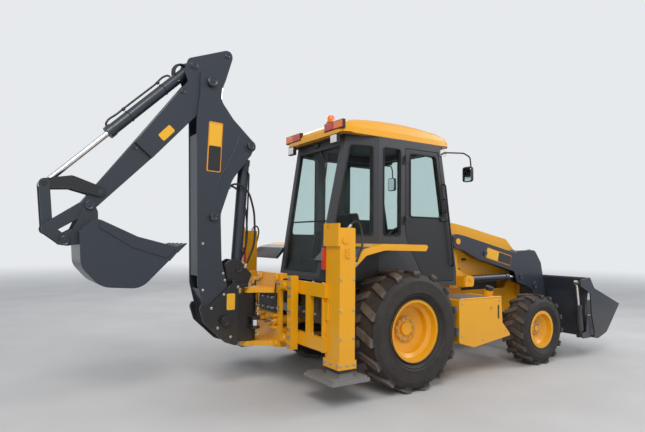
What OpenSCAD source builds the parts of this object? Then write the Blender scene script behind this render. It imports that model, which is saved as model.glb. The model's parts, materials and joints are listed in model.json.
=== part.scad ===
// Backhoe loader, millimetres. +X is forward, +Y is left, +Z is up.
// Places along X are counted from the rear axle; placed() then centres the whole machine on the origin.

/* [Wheels] */
// Distance between the axles
wheelbase = 2222; // [2200:1:2230]
// Outside diameter of a rear tyre over its lugs
rear_tyre_d = 1240; // [1220:1:1244]
// Width of a rear tyre
rear_tyre_w = 470; // [440:1:480]
// Rear track, centre to centre
rear_track = 1820; // [1816:1:1840]
// Outside diameter of a rear rim's flange
rear_rim_d = 660; // [640:1:680]
// Outside diameter of a front tyre over its lugs
front_tyre_d = 880; // [860:1:884]
// Width of a front tyre
front_tyre_w = 320; // [300:1:330]
// Front track, centre to centre
front_track = 1850; // [1840:1:1870]
// Outside diameter of a front rim's flange
front_rim_d = 470; // [455:1:480]
// Height of a rear tyre's lugs
rear_lug_h = 34; // [26:1:38]
// Height of a front tyre's lugs
front_lug_h = 22; // [16:1:24]
// Lugs on each half of a tyre's tread
lug_count = 15; // [12:1:18]

/* [Chassis] */
// Width over the two main rails
rail_span = 640; // [600:1:660]
// Height of a main rail
rail_h = 220; // [200:1:240]
// Thickness of a main rail
rail_t = 24; // [18:1:28]
// Height of the rails' lower edge above the ground
rail_z = 560; // [550:1:580]

/* [Cab] */
// Width of the cab
cab_w = 1250; // [1230:1:1256]
// Thickness of the cab's posts and doors
post_t = 60; // [50:1:64]
// Thickness of the glass
glass_t = 8; // [5:1:10]
// Height of the roof's top
roof_top = 2925; // [2915:1:2935]
// Height of the roof from its lower edge to its top
roof_t = 215; // [210:1:220]
// Angle by which the cab's rear quarters turn inwards
quarter_turn = 15.6; // [15:0.1:16]

/* [Loader] */
// Distance between the loader arms' middle planes
arm_span = 1100; // [1096:1:1110]
// Width of one loader arm
arm_w = 100; // [96:1:104]
// Width of the loader bucket
shovel_w = 2330; // [2300:1:2360]
// Thickness of the loader bucket's sheets
shovel_t = 16; // [12:1:20]

/* [Backhoe] */
// Width of the boom over its side plates
boom_w = 260; // [256:1:270]
// Thickness of the boom's side plates
boom_plate = 14; // [12:1:16]
// Width of the dipper over its side plates
dipper_w = 216; // [210:1:220]
// Width of the digging bucket
hoe_w = 600; // [560:1:640]
// Teeth on the digging bucket
hoe_teeth = 5; // [4:1:6]
// Distance between the stabilizer tubes' outer faces
stab_span = 2360; // [2350:1:2400]
// Height of a stabilizer tube's top
stab_top = 1655; // [1640:1:1700]
// Size of a stabilizer tube along the machine
tube_x = 175; // [170:1:180]
// Size of a stabilizer tube across the machine
tube_y = 235; // [230:1:240]

/* [Fits] */
// Radial gap between a pin and its bore
pin_gap = 0.3; // [0.2:0.05:0.4]
// Gap at the side of a moving eye or plate
side_gap = 6; // [5:0.5:7]

/* [Hidden] */
$fn = 48;

yellow = [0.93, 0.62, 0.03];
slate = [0.17, 0.19, 0.23];
black = [0.08, 0.08, 0.09];
steel = [0.75, 0.76, 0.78];
tyre_grey = [0.27, 0.25, 0.23];
post_grey = [0.20, 0.18, 0.18];
tint = [0.55, 0.72, 0.68, 0.35];
amber = [0.95, 0.45, 0.05];

// Pins and linkage points, as [x, z] in the side view
arm_pivot = [1190, 1550];
lift_base = [1390, 1070];
lift_eye = [2440, 1080];
lever_pivot = [2750, 950];
lever_eye = [2800, 1400];
tilt_base = [1700, 1400];
shovel_pivot = [3010, 370];
shovel_eye = shovel_pivot + lever_eye - lever_pivot;
clam_pivot = [3210, 930];
clam_eye = [2950, 1010];
clam_base = [3040, 300];
swing_x = -1365;
boom_foot = [-1715, 730];
boom_base = [-1530, 1240];
boom_eye = [-1448, 2528];
dipper_pivot = [-1884, 3137];
dipper_eye = [-1711, 3449];
dipper_base = [-1840, 1770];
hoe_base = [-2061, 3285];
hoe_eye = [-3341, 2009];
guide_pivot = [-2893, 1962];
hood_pivot = [1174, 1798];
hoe_pivot = [-2992, 1830];
hoe_link_pin = [-3306, 1620];

rear_axle_z = rear_tyre_d / 2;
front_axle_z = front_tyre_d / 2;
front_x = wheelbase;
kingpin_y = front_track / 2 - 235;
shovel_tip_x = 3910;
lever_end = 42;
lever_mid = [-3130, 2036];
frame_mid = (shovel_tip_x + hoe_eye[0] - lever_end) / 2;
floor_z = 1010;
cab_top = roof_top - roof_t;
frame_rear = -1047;
frame_front = frame_rear + 46;
tube_front = frame_rear + 212;
cab_bend = -100;
beacon = [-440, -150];

// The cab's leaning rear face, and a band along it from height z0 to z1, d0 to d1 in front of it
function rear_x(z) = -770 + 0.18 * (z - floor_z - 100);
function rear_band(z0, z1, d0, d1) =
    [[rear_x(z0) + d0, z0], [rear_x(z0) + d1, z0], [rear_x(z1) + d1, z1], [rear_x(z1) + d0, z1]];
// The radius of an arch that falls by drop at reach from its crown
function arch_r(reach, drop) = (reach * reach + drop * drop) / (2 * drop);

// A corner list [x, z, radius] turned into an outline, with each round corner as an arc
function unit(v) = v / norm(v);
function wrap(a) = a > 180 ? a - 360 : a < -180 ? a + 360 : a;
function corner(p, a, b, r, n) =
    r == 0 ? [p] :
    let (ua = unit(a - p), ub = unit(b - p), half = acos(ua * ub) / 2,
         c = p + unit(ua + ub) * r / sin(half), s = p + ua * r / tan(half) - c, e = p + ub * r / tan(half) - c,
         a0 = atan2(s[1], s[0]), turn = wrap(atan2(e[1], e[0]) - a0))
    [for (i = [0:n]) c + r * [cos(a0 + turn * i / n), sin(a0 + turn * i / n)]];
function xz(p) = [p[0], p[1]];
function rounded(pts, n = 5) =
    let (m = len(pts))
    [for (i = [0:m - 1])
        each corner(xz(pts[i]), xz(pts[(i + m - 1) % m]), xz(pts[(i + 1) % m]),
                    len(pts[i]) > 2 ? pts[i][2] : 0, n)];

// The outline of a bar with round ends of radii rp and rq about p and q
function bar_outline(p, rp, q, rq, n = 9) =
    let (d = norm(q - p), a = atan2(q[1] - p[1], q[0] - p[0]), g = acos((rp - rq) / d))
    concat([for (i = [0:n]) q + rq * [cos(a - g + 2 * g * i / n), sin(a - g + 2 * g * i / n)]],
           [for (i = [0:n]) p + rp * [cos(a + g + (360 - 2 * g) * i / n), sin(a + g + (360 - 2 * g) * i / n)]]);

// The point at a distance from p towards q, and aside from that line
function along(p, q, dist, aside = 0) =
    let (u = unit(q - p)) p + u * dist + [-u[1], u[0]] * aside;

// The outline of a bent strip of width w along the points, mitred at its bends
function strip_side(pts, i, d) =
    let (a = unit(i == 0 ? pts[1] - pts[0] : pts[i] - pts[i - 1]),
         b = i == len(pts) - 1 ? a : unit(pts[i + 1] - pts[i]), n = unit([-a[1] - b[1], a[0] + b[0]]))
    pts[i] + n * d / (n * [-a[1], a[0]]);
function strip(pts, w) =
    let (m = len(pts) - 1)
    concat([for (i = [0:m]) strip_side(pts, i, w / 2)], [for (i = [0:m]) strip_side(pts, m - i, -w / 2)]);

module placed() translate([-frame_mid, 0, 0]) children();
// A side-view outline made into a plate from y0 to y1
module slab(y0, y1) translate([0, y1, 0]) rotate([90, 0, 0]) linear_extrude(y1 - y0) children();
module both_sides() {
    children();
    mirror([0, 1, 0]) children();
}
// A plate on the left and its mirror image on the right, from y0 to y1 off the middle
module pair(y0, y1) {
    slab(y0, y1) children();
    slab(-y1, -y0) children();
}
module pin(p, r, y0, y1) translate([p[0], y0, p[1]]) rotate([-90, 0, 0]) cylinder(r = r, h = y1 - y0);
module box(x0, x1, y0, y1, z0, z1) translate([x0, y0, z0]) cube([x1 - x0, y1 - y0, z1 - z0]);
// Puts children drawn along +X onto the line from p to q
module aimed(p, q) translate([p[0], 0, p[1]]) rotate([0, -atan2(q[1] - p[1], q[0] - p[0]), 0]) children();
module rod_x(x0, x1, r) translate([x0, 0, 0]) rotate([0, 90, 0]) cylinder(r = r, h = x1 - x0);

// Cylinders: [base, eye, barrel radius, rod radius, gland distance, bore bottom, rod's inner end, eye width, pin radius]
lift_ram = [lift_base, lift_eye, 46, 26, 815, 80, 128, 56, 24];
tilt_ram = [tilt_base, lever_eye, 32, 19, 830, 225, 265, 40, 18];
clam_ram = [clam_base, clam_eye, 36, 18, 410, 60, 360, 44, 17];
boom_ram = [boom_base, boom_eye, 58, 32, 1160, 180, 220, 76, 30];
dipper_ram = [dipper_base, dipper_eye, 56, 30, 1060, 390, 985, 74, 30];
hoe_ram = [hoe_base, hoe_eye, 54, 27, 1085, 250, 1000, 66, 26];
function ram_l(c) = norm(c[1] - c[0]);

module barrel(c) {
    gland = c[4];
    aimed(c[0], c[1]) difference() {
        union() {
            rod_x(0, c[8] + 60, c[7] / 2 - 1);
            rod_x(c[8] + 50, gland - 40, c[2]);
            rod_x(gland - 60, gland, c[2] + 6);
            translate([0, -c[7] / 2, 0]) rotate([-90, 0, 0]) cylinder(r = c[8] + 16, h = c[7]);
        }
        rod_x(c[5], gland + 1, c[3] + pin_gap);
        translate([0, -c[7], 0]) rotate([-90, 0, 0]) cylinder(r = c[8] + pin_gap, h = 2 * c[7]);
    }
}
module rod(c) {
    l = ram_l(c);
    aimed(c[0], c[1]) difference() {
        union() {
            rod_x(c[6], l - c[8], c[3]);
            translate([l, -c[7] / 2, 0]) rotate([-90, 0, 0]) cylinder(r = c[8] + 14, h = c[7]);
        }
        translate([l, -c[7], 0]) rotate([-90, 0, 0]) cylinder(r = c[8], h = 2 * c[7]);
    }
}
module at_y(y) translate([0, y, 0]) children();

// Main frame

module main_frame() color(yellow) {
    inner = rail_span / 2 - rail_t;
    rail_top = rail_z + rail_h;
    arm_in = arm_span / 2 - arm_w / 2 - side_gap;
    arm_out = arm_span / 2 + arm_w / 2 + side_gap;
    union() {
        pair(inner, rail_span / 2) polygon(rounded([[-730, rail_z], [-110, rail_z], [-100, rear_axle_z + 86],
            [100, rear_axle_z + 86], [110, rail_z], [2640, rail_z, 40], [2700, 700, 40],
            [2700, 1040], [2560, 1040], [2440, 900], [1560, 900], [1460, 1150], [1360, 1180], [1145, 1180], [1145, 960],
            [700, rail_top], [-730, rail_top]]));
        for (x = [-730, -480, 1100, 1500, 2300]) box(x, x + 30, -inner - 1, inner + 1, rail_z + 10, 640);
        // Plates that tie the rails to the rear frame, above and below the swing cylinders
        box(frame_front, -640, -660, 660, rail_top - 26, rail_top);
        box(frame_front, -729, -rail_span / 2, rail_span / 2, rail_z, rail_z + 36);
        // Front cross plate and the bulkhead behind the hood
        box(2680, 2712, -380, 380, 600, 1040);
        box(1146, 1162, -340, 340, 1179, 1760);
        both_sides() {
            box(-110, 110, rail_span / 2 - 1, rail_span / 2 + 60, rear_axle_z + 86, rail_top);
            // Feet under the cab floor
            box(900, 1000, inner, rail_span / 2, rail_top - 1, floor_z);
            box(-450, -370, inner, rail_span / 2, rail_top - 1, floor_z + 100);
            // Tower that carries the loader arms, with the lift cylinder's bracket below
            slab(rail_span / 2 - 1, arm_in - 20)
                polygon(rounded([[1145, 1000], [1330, 1000], [1330, 1180], [1145, 1180]]));
            slab(arm_in - 46, arm_in) polygon(rounded([[1142, 960], [1450, 960, 30], [1470, 1110, 60], [1300, 1200, 40],
                                                       [1270, 1640, 76], [1142, 1640, 30]]));
            slab(arm_out, arm_out + 16)
                polygon(rounded([[1290, 980, 20], [1450, 980, 30], [1470, 1110, 60], [1310, 1130, 40]]));
            slab(arm_in - 1, arm_out + 1) polygon([[1290, 980], [1310, 980], [1310, 1110], [1290, 1110]]);
            pin(lift_base, 24, arm_in - 1, arm_out + 24);
            pin(arm_pivot, 38, arm_in - 1, arm_out + 2);
            // Brackets of the front axle
            box(front_x - 130, front_x - 100, 60, inner + 1, front_axle_z + 70, rail_z + 60);
            box(front_x + 100, front_x + 130, 60, inner + 1, front_axle_z + 70, rail_z + 60);
            // Hinge lugs of the hood
            for (y = [200, 245]) slab(y, y + 16) polygon([[1146, 1740], [1162, 1740], [1188, 1785], [1188, 1812], [1160, 1812], [1146, 1790]]);
            pin(hood_pivot, 9, 199, 262);
        }
    }
}

// Frame that carries the stabilizers and the side-shift carriage

module rear_frame() color(yellow) {
    y_out = stab_span / 2;
    y_in = y_out - tube_y;
    tube_rear = tube_front - tube_x;
    difference() {
        union() {
            box(frame_rear, frame_front, -y_in - 45, y_in + 45, 1000, 1130);
            box(frame_rear, frame_front, -y_in - 45, y_in + 45, 490, 620);
            both_sides() {
                box(frame_rear, frame_front, 640, 720, 619, 1001);
                box(tube_rear, tube_front, y_in, y_out, 430, stab_top);
                // Collar round the tube's lower end, head plate at its upper end and gusset to the beams
                box(tube_rear - 14, tube_front + 14, y_in - 14, y_out + 8, 362, 440);
                box(tube_rear - 20, tube_rear + 1, y_in - 15, y_out, 1490, stab_top + 50);
                box(frame_rear + 6, tube_front - 6, y_in - 20, y_in + 1, 480, 1140);
            }
        }
        both_sides() box(tube_rear + 20, tube_front - 20, y_in + 20, y_out - 20, 300, stab_top - 20);
    }
}

module stabilizer_leg() color(yellow) {
    y_out = stab_span / 2;
    y_in = y_out - tube_y;
    tube_rear = tube_front - tube_x;
    union() {
        box(tube_rear + 20.4, tube_front - 20.4, y_in + 20.4, y_out - 20.4, 288, stab_top - 200);
        // Pad with its bevelled edge, and the socket that takes the leg
        translate([0, 0, 240]) linear_extrude(34)
            polygon([[tube_rear - 110, y_in - 195], [tube_front + 135, y_in - 195], [tube_front + 135, y_out + 60],
                     [tube_rear - 110, y_out + 60]]);
        translate([0, 0, 273]) linear_extrude(17)
            polygon([[tube_rear - 92, y_in - 177], [tube_front + 117, y_in - 177], [tube_front + 117, y_out + 42],
                     [tube_rear - 92, y_out + 42]]);
        box(tube_rear + 8, tube_front - 8, y_in + 8, y_out - 8, 289, 330);
    }
}

module axles() color(yellow) union() {
    // Rear axle: centre housing, tubes and stub pins
    translate([0, -170, rear_axle_z]) rotate([-90, 0, 0]) cylinder(r = 150, h = 340);
    translate([0, -rear_track / 2 + 180, rear_axle_z]) rotate([-90, 0, 0]) cylinder(r = 86, h = rear_track - 360);
    pin([0, rear_axle_z], 50, -rear_track / 2 - 20, rear_track / 2 + 20);
    // Front axle beam with its forked ends
    translate([front_x - 55, -kingpin_y + 90, front_axle_z - 60]) cube([110, 2 * kingpin_y - 180, 120]);
    translate([front_x, 0, front_axle_z]) rotate([0, 90, 0]) translate([0, 0, -100]) cylinder(r = 95, h = 200);
    both_sides() {
        box(front_x - 36, front_x + 36, kingpin_y - 92, kingpin_y - 56, front_axle_z - 120, front_axle_z + 120);
        for (z = [-120, 90]) {
            box(front_x - 36, front_x + 36, kingpin_y - 60, kingpin_y, front_axle_z + z, front_axle_z + z + 30);
            translate([front_x, kingpin_y, front_axle_z + z]) cylinder(r = 45, h = 30);
        }
        for (z = [-91, 50]) translate([front_x, kingpin_y, front_axle_z + z]) cylinder(r = 20, h = 41);
    }
}

module knuckle(side) color(yellow) {
    // Upright between the fork's ears, with the stub axle and the steering arm
    scale([1, side, 1]) difference() {
        union() {
            translate([front_x, kingpin_y, front_axle_z - 84]) cylinder(r = 44, h = 168);
            pin([front_x, front_axle_z], 40, kingpin_y + 20, front_track / 2 + 20);
            pin([front_x, front_axle_z], 80, kingpin_y + 52, kingpin_y + 92);
            box(front_x - 190, front_x, kingpin_y - 20, kingpin_y + 20, front_axle_z - 14, front_axle_z + 14);
        }
        for (z = [-92, 49]) translate([front_x, kingpin_y, front_axle_z + z]) cylinder(r = 20 + pin_gap, h = 43);
    }
}

module engine() color(black) union() {
    box(1420, 2420, -210, 210, 640, 1300);
    box(160, 1421, -150, 150, 660, 940);
}

// Wheels: one tyre and one rim module, with a size row for each axle

// Row: [diameter, width, rim flange diameter, rim width, lug height, disc offset, hub radius, axle radius]
rear_wheel = [rear_tyre_d, rear_tyre_w, rear_rim_d, 384, rear_lug_h, 20, 130, 50];
first_lug = 90 + asin(0.14);
front_wheel = [front_tyre_d, front_tyre_w, front_rim_d, 270, front_lug_h, 20, 84, 40];

module lug(w, reach, half, r0, r1, turn) {
    // One bent bar of the chevron tread, from the middle of the tread out to its shoulder
    rotate([0, 0, turn]) translate([r0, 0, 0]) rotate([90, 0, 90]) linear_extrude(r1 - r0)
        polygon([[-reach, -10], [w - reach, -10], [w * 0.55, half * 0.5], [reach, half], [reach - w * 1.05, half], [-w * 0.6, half * 0.5]]);
}
module tyre(v, side) color(tyre_grey) {
    r = v[0] / 2;
    half = v[1] / 2;
    carcass = r - v[4];
    bead = v[2] / 2 - 26;
    lug_w = 2 * PI * r / lug_count / 3.4;
    reach = 0.14 * r;
    tip = sqrt(r * r - reach * reach);
    scale([1, side, 1]) rotate([90, 0, 0]) rotate([0, 0, first_lug]) union() {
        rotate_extrude($fn = 60) polygon([[bead, -v[3] / 2 + 14], [bead + 40, -v[3] / 2 + 4], [bead + 90, -half],
            [carcass - 70, -half], [carcass - 14, -half + 26], [carcass, -half + 70], [carcass, half - 70],
            [carcass - 14, half - 26], [carcass - 70, half], [bead + 90, half], [bead + 40, v[3] / 2 - 4],
            [bead, v[3] / 2 - 14]]);
        for (i = [0:lug_count - 1]) {
            lug(lug_w, reach, half - 12, carcass - 30, tip, i * 360 / lug_count);
            mirror([0, 0, 1]) lug(lug_w, reach, half - 12, carcass - 30, tip, (i + 0.5) * 360 / lug_count);
        }
    }
}
module rim(v, side) color(yellow) {
    r = v[2] / 2;
    seat = r - 26;
    half = v[3] / 2;
    disc = v[5];
    // The section runs along the axle: +Z of the revolve is outboard
    scale([1, side, 1]) rotate([-90, 0, 0]) difference() {
        union() {
            rotate_extrude($fn = 72) polygon([[seat, -half + 10], [r, -half + 4], [r, -half], [seat - 12, -half],
                [seat - 22, -half + 60], [seat - 60, -half + 90], [seat - 60, disc - 12], [v[6] + 20, disc - 34],
                [0, disc - 34], [0, disc - 4], [v[6] + 20, disc - 4], [seat - 60, disc + 20], [seat - 60, half - 90],
                [seat - 22, half - 60], [seat - 12, half], [r, half], [r, half - 4], [seat, half - 10], [seat, half - 50],
                [seat - 46, half - 90], [seat - 46, -half + 90], [seat, -half + 50]]);
            translate([0, 0, disc - 110]) cylinder(r = v[6], h = 110 + 16);
            for (i = [0:9]) rotate([0, 0, i * 36]) translate([v[6] - 18, 0, disc + 10]) cylinder(r = 11, h = 20, $fn = 6);
        }
        translate([0, 0, disc - 111]) cylinder(r = v[7] + pin_gap, h = 116);
    }
}
module wheel_at(x, y, z) translate([x, y, z]) children();

// Cab: frame with cut windows, glass, doors and roof

door_hinge_x = 283;
// Side outline of the whole cab shell, with its stepped floor
shell = rounded([[rear_x(floor_z + 100), floor_z + 100, 20], [-250, floor_z + 100], [-250, floor_z],
                 [1130, floor_z, 10], [1130, 1180, 20], [860, cab_top, 20], [rear_x(cab_top), cab_top, 20]]);
door_outline = rounded([[330, 1540, 30], [578, 1116, 20], [742, 1070, 20], [1070, 1070, 20], [1070, 1190, 20], [812, 2620, 30],
                        [290, 2620, 30], [290, 1640, 40]]);
door_opening = rounded([[326, 1534, 30], [574, 1110, 20], [740, 1064, 20], [1077, 1064, 20], [1077, 1190, 20], [818, 2627, 30],
                        [284, 2627, 30], [284, 1637, 40]]);
door_window = rounded([[365, 1830, 40], [898, 1830, 40], [776, 2570, 40], [365, 2570, 40]]);
rear_side_window = rounded([[-611, 1610, 40], [-170, 1610, 40], [-170, 2600, 40], [-434, 2600, 40]]);
slim_window = rounded([[-34, 1610, 30], [215, 1610, 30], [215, 2600, 30], [-34, 2600, 30]]);

// The cab in plan, so far inside its outer faces: straight at the doors, with the rear quarters turned inwards
module cab_plan(inset) {
    y = cab_w / 2 - inset;
    x = cab_bend + inset * tan(quarter_turn / 2);
    tail = 800;
    tail_y = y - tail * tan(quarter_turn);
    translate([0, 0, 900]) linear_extrude(1900)
        polygon([[1200, y], [x, y], [x - tail, tail_y], [x - tail, -tail_y], [x, -y], [1200, -y]]);
}
module within_plan(inset) intersection() {
    union() children();
    cab_plan(inset);
}
module across(outline) slab(-cab_w / 2 - 1, cab_w / 2 + 1) polygon(outline);

module cab_frame() color(post_grey) {
    half = cab_w / 2;
    union() {
        // The shell, hollowed from within, with the doors and the side windows cut through it
        difference() {
            within_plan(0) across(shell);
            cab_plan(post_t);
            across(door_opening);
            across(rear_side_window);
            across(slim_window);
        }
        within_plan(1) across([[rear_x(1110) + 5, floor_z + 100], [-250, floor_z + 100], [-250, floor_z], [1125, floor_z],
                               [1125, 1050], [-210, 1050], [-210, 1150], [rear_x(1150) + 5, 1150]]);
        // Cross members below and above the rear window, then the front ones
        within_plan(1) across(rear_band(1140, 1190, 3, 55));
        within_plan(1) across(rear_band(2600, cab_top, 3, 60));
        slab(-half + 1, half - 1) polygon([[790, 2634], [868, 2634], [855, cab_top], [780, cab_top]]);
        slab(-half + 1, half - 1) polygon([[1084, 1050], [1122, 1050], [1122, 1180], [1030, 1700], [992, 1700],
                                             [1081, 1200], [1084, 1190]]);
        // Pillars beside the rear window
        difference() {
            within_plan(1) across(rear_band(1140, cab_top, 2, 54));
            cab_plan(72);
        }
    }
}
module cab_glass() color(tint) {
    half = cab_w / 2;
    // Side panes, along the walls that they sit in
    difference() {
        within_plan(34 - glass_t) {
            across(rear_side_window);
            across(slim_window);
        }
        cab_plan(34);
    }
    // Rear and front panes, leaning as their posts do
    within_plan(72) across(rear_band(1190, 2600, 26, 26 + glass_t));
    slab(-half + post_t, half - post_t) polygon([[1005, 1700], [1005 + glass_t, 1700], [843 + glass_t, 2634], [843, 2634]]);
}
module door(side) color(post_grey) scale([1, side, 1]) difference() {
    half = cab_w / 2;
    union() {
        slab(half - post_t, half) difference() {
            polygon(door_outline);
            polygon(door_window);
        }
        // Hinge knuckles at the rear edge
        for (z = [1760, 2460]) translate([door_hinge_x, half + 18, z]) cylinder(r = 16, h = 70);
        for (z = [1760, 2460]) box(door_hinge_x + 8, door_hinge_x + 57, half - 1, half + 14, z, z + 70);
    }
    for (z = [1750, 2450]) translate([door_hinge_x, half + 18, z]) cylinder(r = 7 + pin_gap, h = 90);
}
module door_pane(side) color(tint) scale([1, side, 1])
    slab(cab_w / 2 - 34, cab_w / 2 - 34 + glass_t) polygon(door_window);
module door_hinge_pins() both_sides() for (z = [1740, 2440]) {
    translate([door_hinge_x, cab_w / 2 + 18, z]) cylinder(r = 7, h = 96);
    translate([door_hinge_x, cab_w / 2 + 18, z]) cylinder(r = 16, h = 18);
    box(door_hinge_x - 33, door_hinge_x, cab_w / 2 - 1, cab_w / 2 + 18, z, z + 18);
}

// The roof's outline in plan, so far inside its rim
module roof_plan(inset, z0, z1) {
    y = cab_w / 2 + 10 - inset;
    translate([0, 0, z0]) linear_extrude(z1 - z0)
        polygon(rounded([[-600 + inset, -y, 60], [1050 - 1.4 * inset, -y + 20, 90], [1050 - 1.4 * inset, y - 20, 90],
                         [-600 + inset, y, 60]]));
}
// The same, arched from end to end under the height top
module arched(inset, z0, top) intersection() {
    roof_plan(inset, z0, top);
    r = arch_r(800, 60);
    translate([200, 0, top - r]) rotate([90, 0, 0]) cylinder(r = r, h = 2000, center = true, $fn = 360);
}
module roof() color(yellow) {
    half = cab_w / 2 + 10;
    difference() {
        union() {
            roof_plan(0, cab_top, cab_top + 70);
            arched(16, cab_top + 69, roof_top - 34);
            arched(46, cab_top + 69, roof_top - 12);
            arched(110, cab_top + 69, roof_top);
            // Seat of the beacon
            translate([beacon[0], beacon[1], roof_top - 80]) cylinder(r = 56, h = 60);
        }
        // Recesses of the rear lamp clusters
        both_sides() box(-601, -540, half - 250, half - 90, cab_top + 40, cab_top + 104);
    }
}

// Fenders, cut to the cab's sides on the inside, with a turned-down lip on the outside
module fenders() color(yellow) both_sides() difference() {
    outer = 1150;
    top = [[135, 1486, 8], [115, 1508, 0], [-460, 1516, 200], [-712, 1462, 60]];
    union() {
        slab(430, outer) polygon(rounded(concat([[-828, 1336, 0], [-806, 1320, 0], [-690, 1424, 60], [-450, 1478, 200], [115, 1468, 0]], top)));
        slab(outer - 24, outer) polygon(rounded(concat([[-828, 1314, 0], [-800, 1298, 0], [-680, 1402, 60], [-446, 1452, 200], [105, 1442, 8]], top)));
    }
    cab_plan(-0.2);
}

module side_tanks() color(yellow) both_sides() {
    union() {
        slab(640, 1100) polygon(rounded([[655, 430, 30], [890, 360, 30], [1545, 440, 16], [1390, 600, 20],
                                         [1372, 905, 16], [655, 905, 16]]));
        slab(rail_span / 2, 641) polygon([[700, 600], [1250, 600], [1250, 760], [700, 760]]);
        // Filler neck and cap
        translate([1290, 960, 890]) rotate([-18, 0, 0]) cylinder(r = 52, h = 90);
        translate([1290, 960, 890]) rotate([-18, 0, 0]) translate([0, 0, 89]) cylinder(r = 42, h = 40);
    }
}

module seat() color(black) union() {
    box(40, 200, -120, 120, 1050, 1260);
    slab(-240, 240) polygon(rounded([[-130, 1255, 20], [400, 1255, 40], [400, 1380, 50], [-20, 1370, 20],
                                     [-110, 1900, 50], [-240, 1900, 50]]));
}
module controls() color(black) {
    union() {
        slab(-130, 130) polygon(rounded([[760, 1050], [990, 1050], [960, 1500, 30], [800, 1620, 30]]));
        translate([860, 0, 1540]) rotate([0, -32, 0]) cylinder(r = 26, h = 160);
        translate([775, 0, 1676]) rotate([0, -32, 0]) rotate_extrude($fn = 36) translate([180, 0]) circle(r = 14, $fn = 13);
        translate([775, 0, 1676]) rotate([0, -32, 0]) translate([-176, -14, -10]) cube([352, 28, 20]);
        translate([775, 0, 1676]) rotate([0, -32, 0]) cylinder(r = 46, h = 24, center = true);
    }
    // Backhoe control pedestal with its two levers
    union() {
        box(-600, -420, -180, 180, 1150, 1330);
        for (y = [-120, -60, 60, 120]) translate([-500, y, 1320]) rotate([0, 10, 0]) cylinder(r = 9, h = 330);
        for (y = [-120, -60, 60, 120]) translate([-500, y, 1320]) rotate([0, 10, 0]) translate([0, 0, 320]) sphere(r = 24);
    }
}

module lamps() color("white") {
    low = cab_top;
    half = cab_w / 2 + 10;
    both_sides() {
        // Rear clusters, set into the roof
        box(-592, -540, half - 248, half - 92, low + 42, low + 102);
        // Work lamps under the roof's rear and front edges
        box(-600, -576, half - 250, half - 130, low - 112, low);
        translate([-620, half - 190, low - 60]) rotate([0, 90, 0]) cylinder(r = 42, h = 22);
        box(900, 950, half - 260, half - 130, low - 100, low);
    }
    // Beacon
    translate([beacon[0], beacon[1], roof_top - 20]) cylinder(r = 44, h = 95);
}

module fittings() color(black) {
    half = cab_w / 2;
    both_sides() {
        // Mirror on its arm, from the front post
        union() {
            slab(half, half + 24) polygon(strip([[845, 2570], [1215, 2620], [1240, 2470]], 24));
            slab(half + 20, half + 165) polygon(rounded([[1222, 2290, 12], [1258, 2290, 12], [1258, 2480, 12], [1222, 2480, 12]]));
        }
    }
    // Control valve of the backhoe, on the frame's upper beam
    box(frame_front, frame_front + 120, -260, 260, 1010, 1120);
}

module hood() color(yellow) {
    difference() {
        union() {
            // Shell in side view, with the rounded nose
            slab(-375, 375) polygon(rounded([[1200, 1200], [1480, 1200], [1480, 1060], [2640, 1060, 30], [2660, 1380, 140], [2420, 1590, 80],
                                             [1420, 1780, 40], [1200, 1800, 30]]));
            // Tabs of the rear hinge
            both_sides() slab(221, 240) polygon(rounded([[1240, 1770], [1240, 1790], [1174, 1815, 16], [1156, 1798, 0], [1174, 1780, 16]]));
        }
        slab(-351, 351) polygon(rounded([[1190, 1000], [2600, 1000], [2630, 1370, 120], [2410, 1566, 80],
                                         [1420, 1756, 40], [1190, 1776]]));
        // Side slots
        for (s = [0:2], y = [-400, 300]) box(1900 + s * 150, 2010 + s * 150, y, y + 100, 1290 - s * 40, 1312 - s * 40);
        // Opening of the grille
        box(2600, 2700, -290, 290, 1090, 1360);
        both_sides() pin(hood_pivot, 9 + pin_gap, 215, 245);
    }
}
module grille() color(black) union() {
    box(2622, 2634, -290, 290, 1090, 1360);
    for (i = [0:8]) box(2633, 2652, -288, 288, 1096 + i * 30, 1106 + i * 30);
}

// Loader

arm_outline = rounded([[1100, 1480, 60], [1120, 1650, 60], [1300, 1625, 20], [2330, 1400, 40], [2400, 1430, 60], [2760, 1440, 90],
                       [2900, 1260, 80], [3075, 470, 70], [3075, 300, 70], [2930, 300, 70], [2890, 480, 60],
                       [2690, 900, 60], [2520, 960, 60], [2365, 1000, 60], [2310, 1146, 60], [1560, 1330, 60], [1300, 1440, 60]]);
module loader_arms() color(slate) {
    mid = arm_span / 2;
    half = arm_w / 2;
    union() {
        both_sides() {
            difference() {
                slab(mid - half, mid + half) polygon(arm_outline);
                pin(arm_pivot, 38 + pin_gap, mid - half - 1, mid + half + 1);
                pin(shovel_pivot, 28 + pin_gap, mid - half - 1, mid + half + 1);
                // Slot that takes the lift cylinder's eye
                slab(mid - half + 15, mid + half - 15)
                    polygon([[1970, 900], [2600, 900], [2620, 1248], [1970, 1256]]);
            }
            // Pins of the tilt lever and of the tilt cylinder's base
            pin(lever_pivot, 30, lever_y0 - 4, mid - half + 1);
            pin(tilt_base, 18, tilt_y - 20, mid - half + 1);
            pin(tilt_base, 40, mid - half - 40, mid - half + 1);
        }
        // Cross tube between the two arms
        translate([2890, -mid + 1, 700]) rotate([-90, 0, 0]) cylinder(r = 70, h = 2 * mid - 2);
    }
}
lift_y = arm_span / 2;
lever_y0 = arm_span / 2 - arm_w / 2 - side_gap - 20;
link_y0 = lever_y0 - 26;
tilt_y = link_y0 - 26;
module lift_barrels() color(slate) both_sides() at_y(lift_y) barrel(lift_ram);
module lift_rods() color(steel) both_sides() at_y(lift_y) rod(lift_ram);
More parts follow.
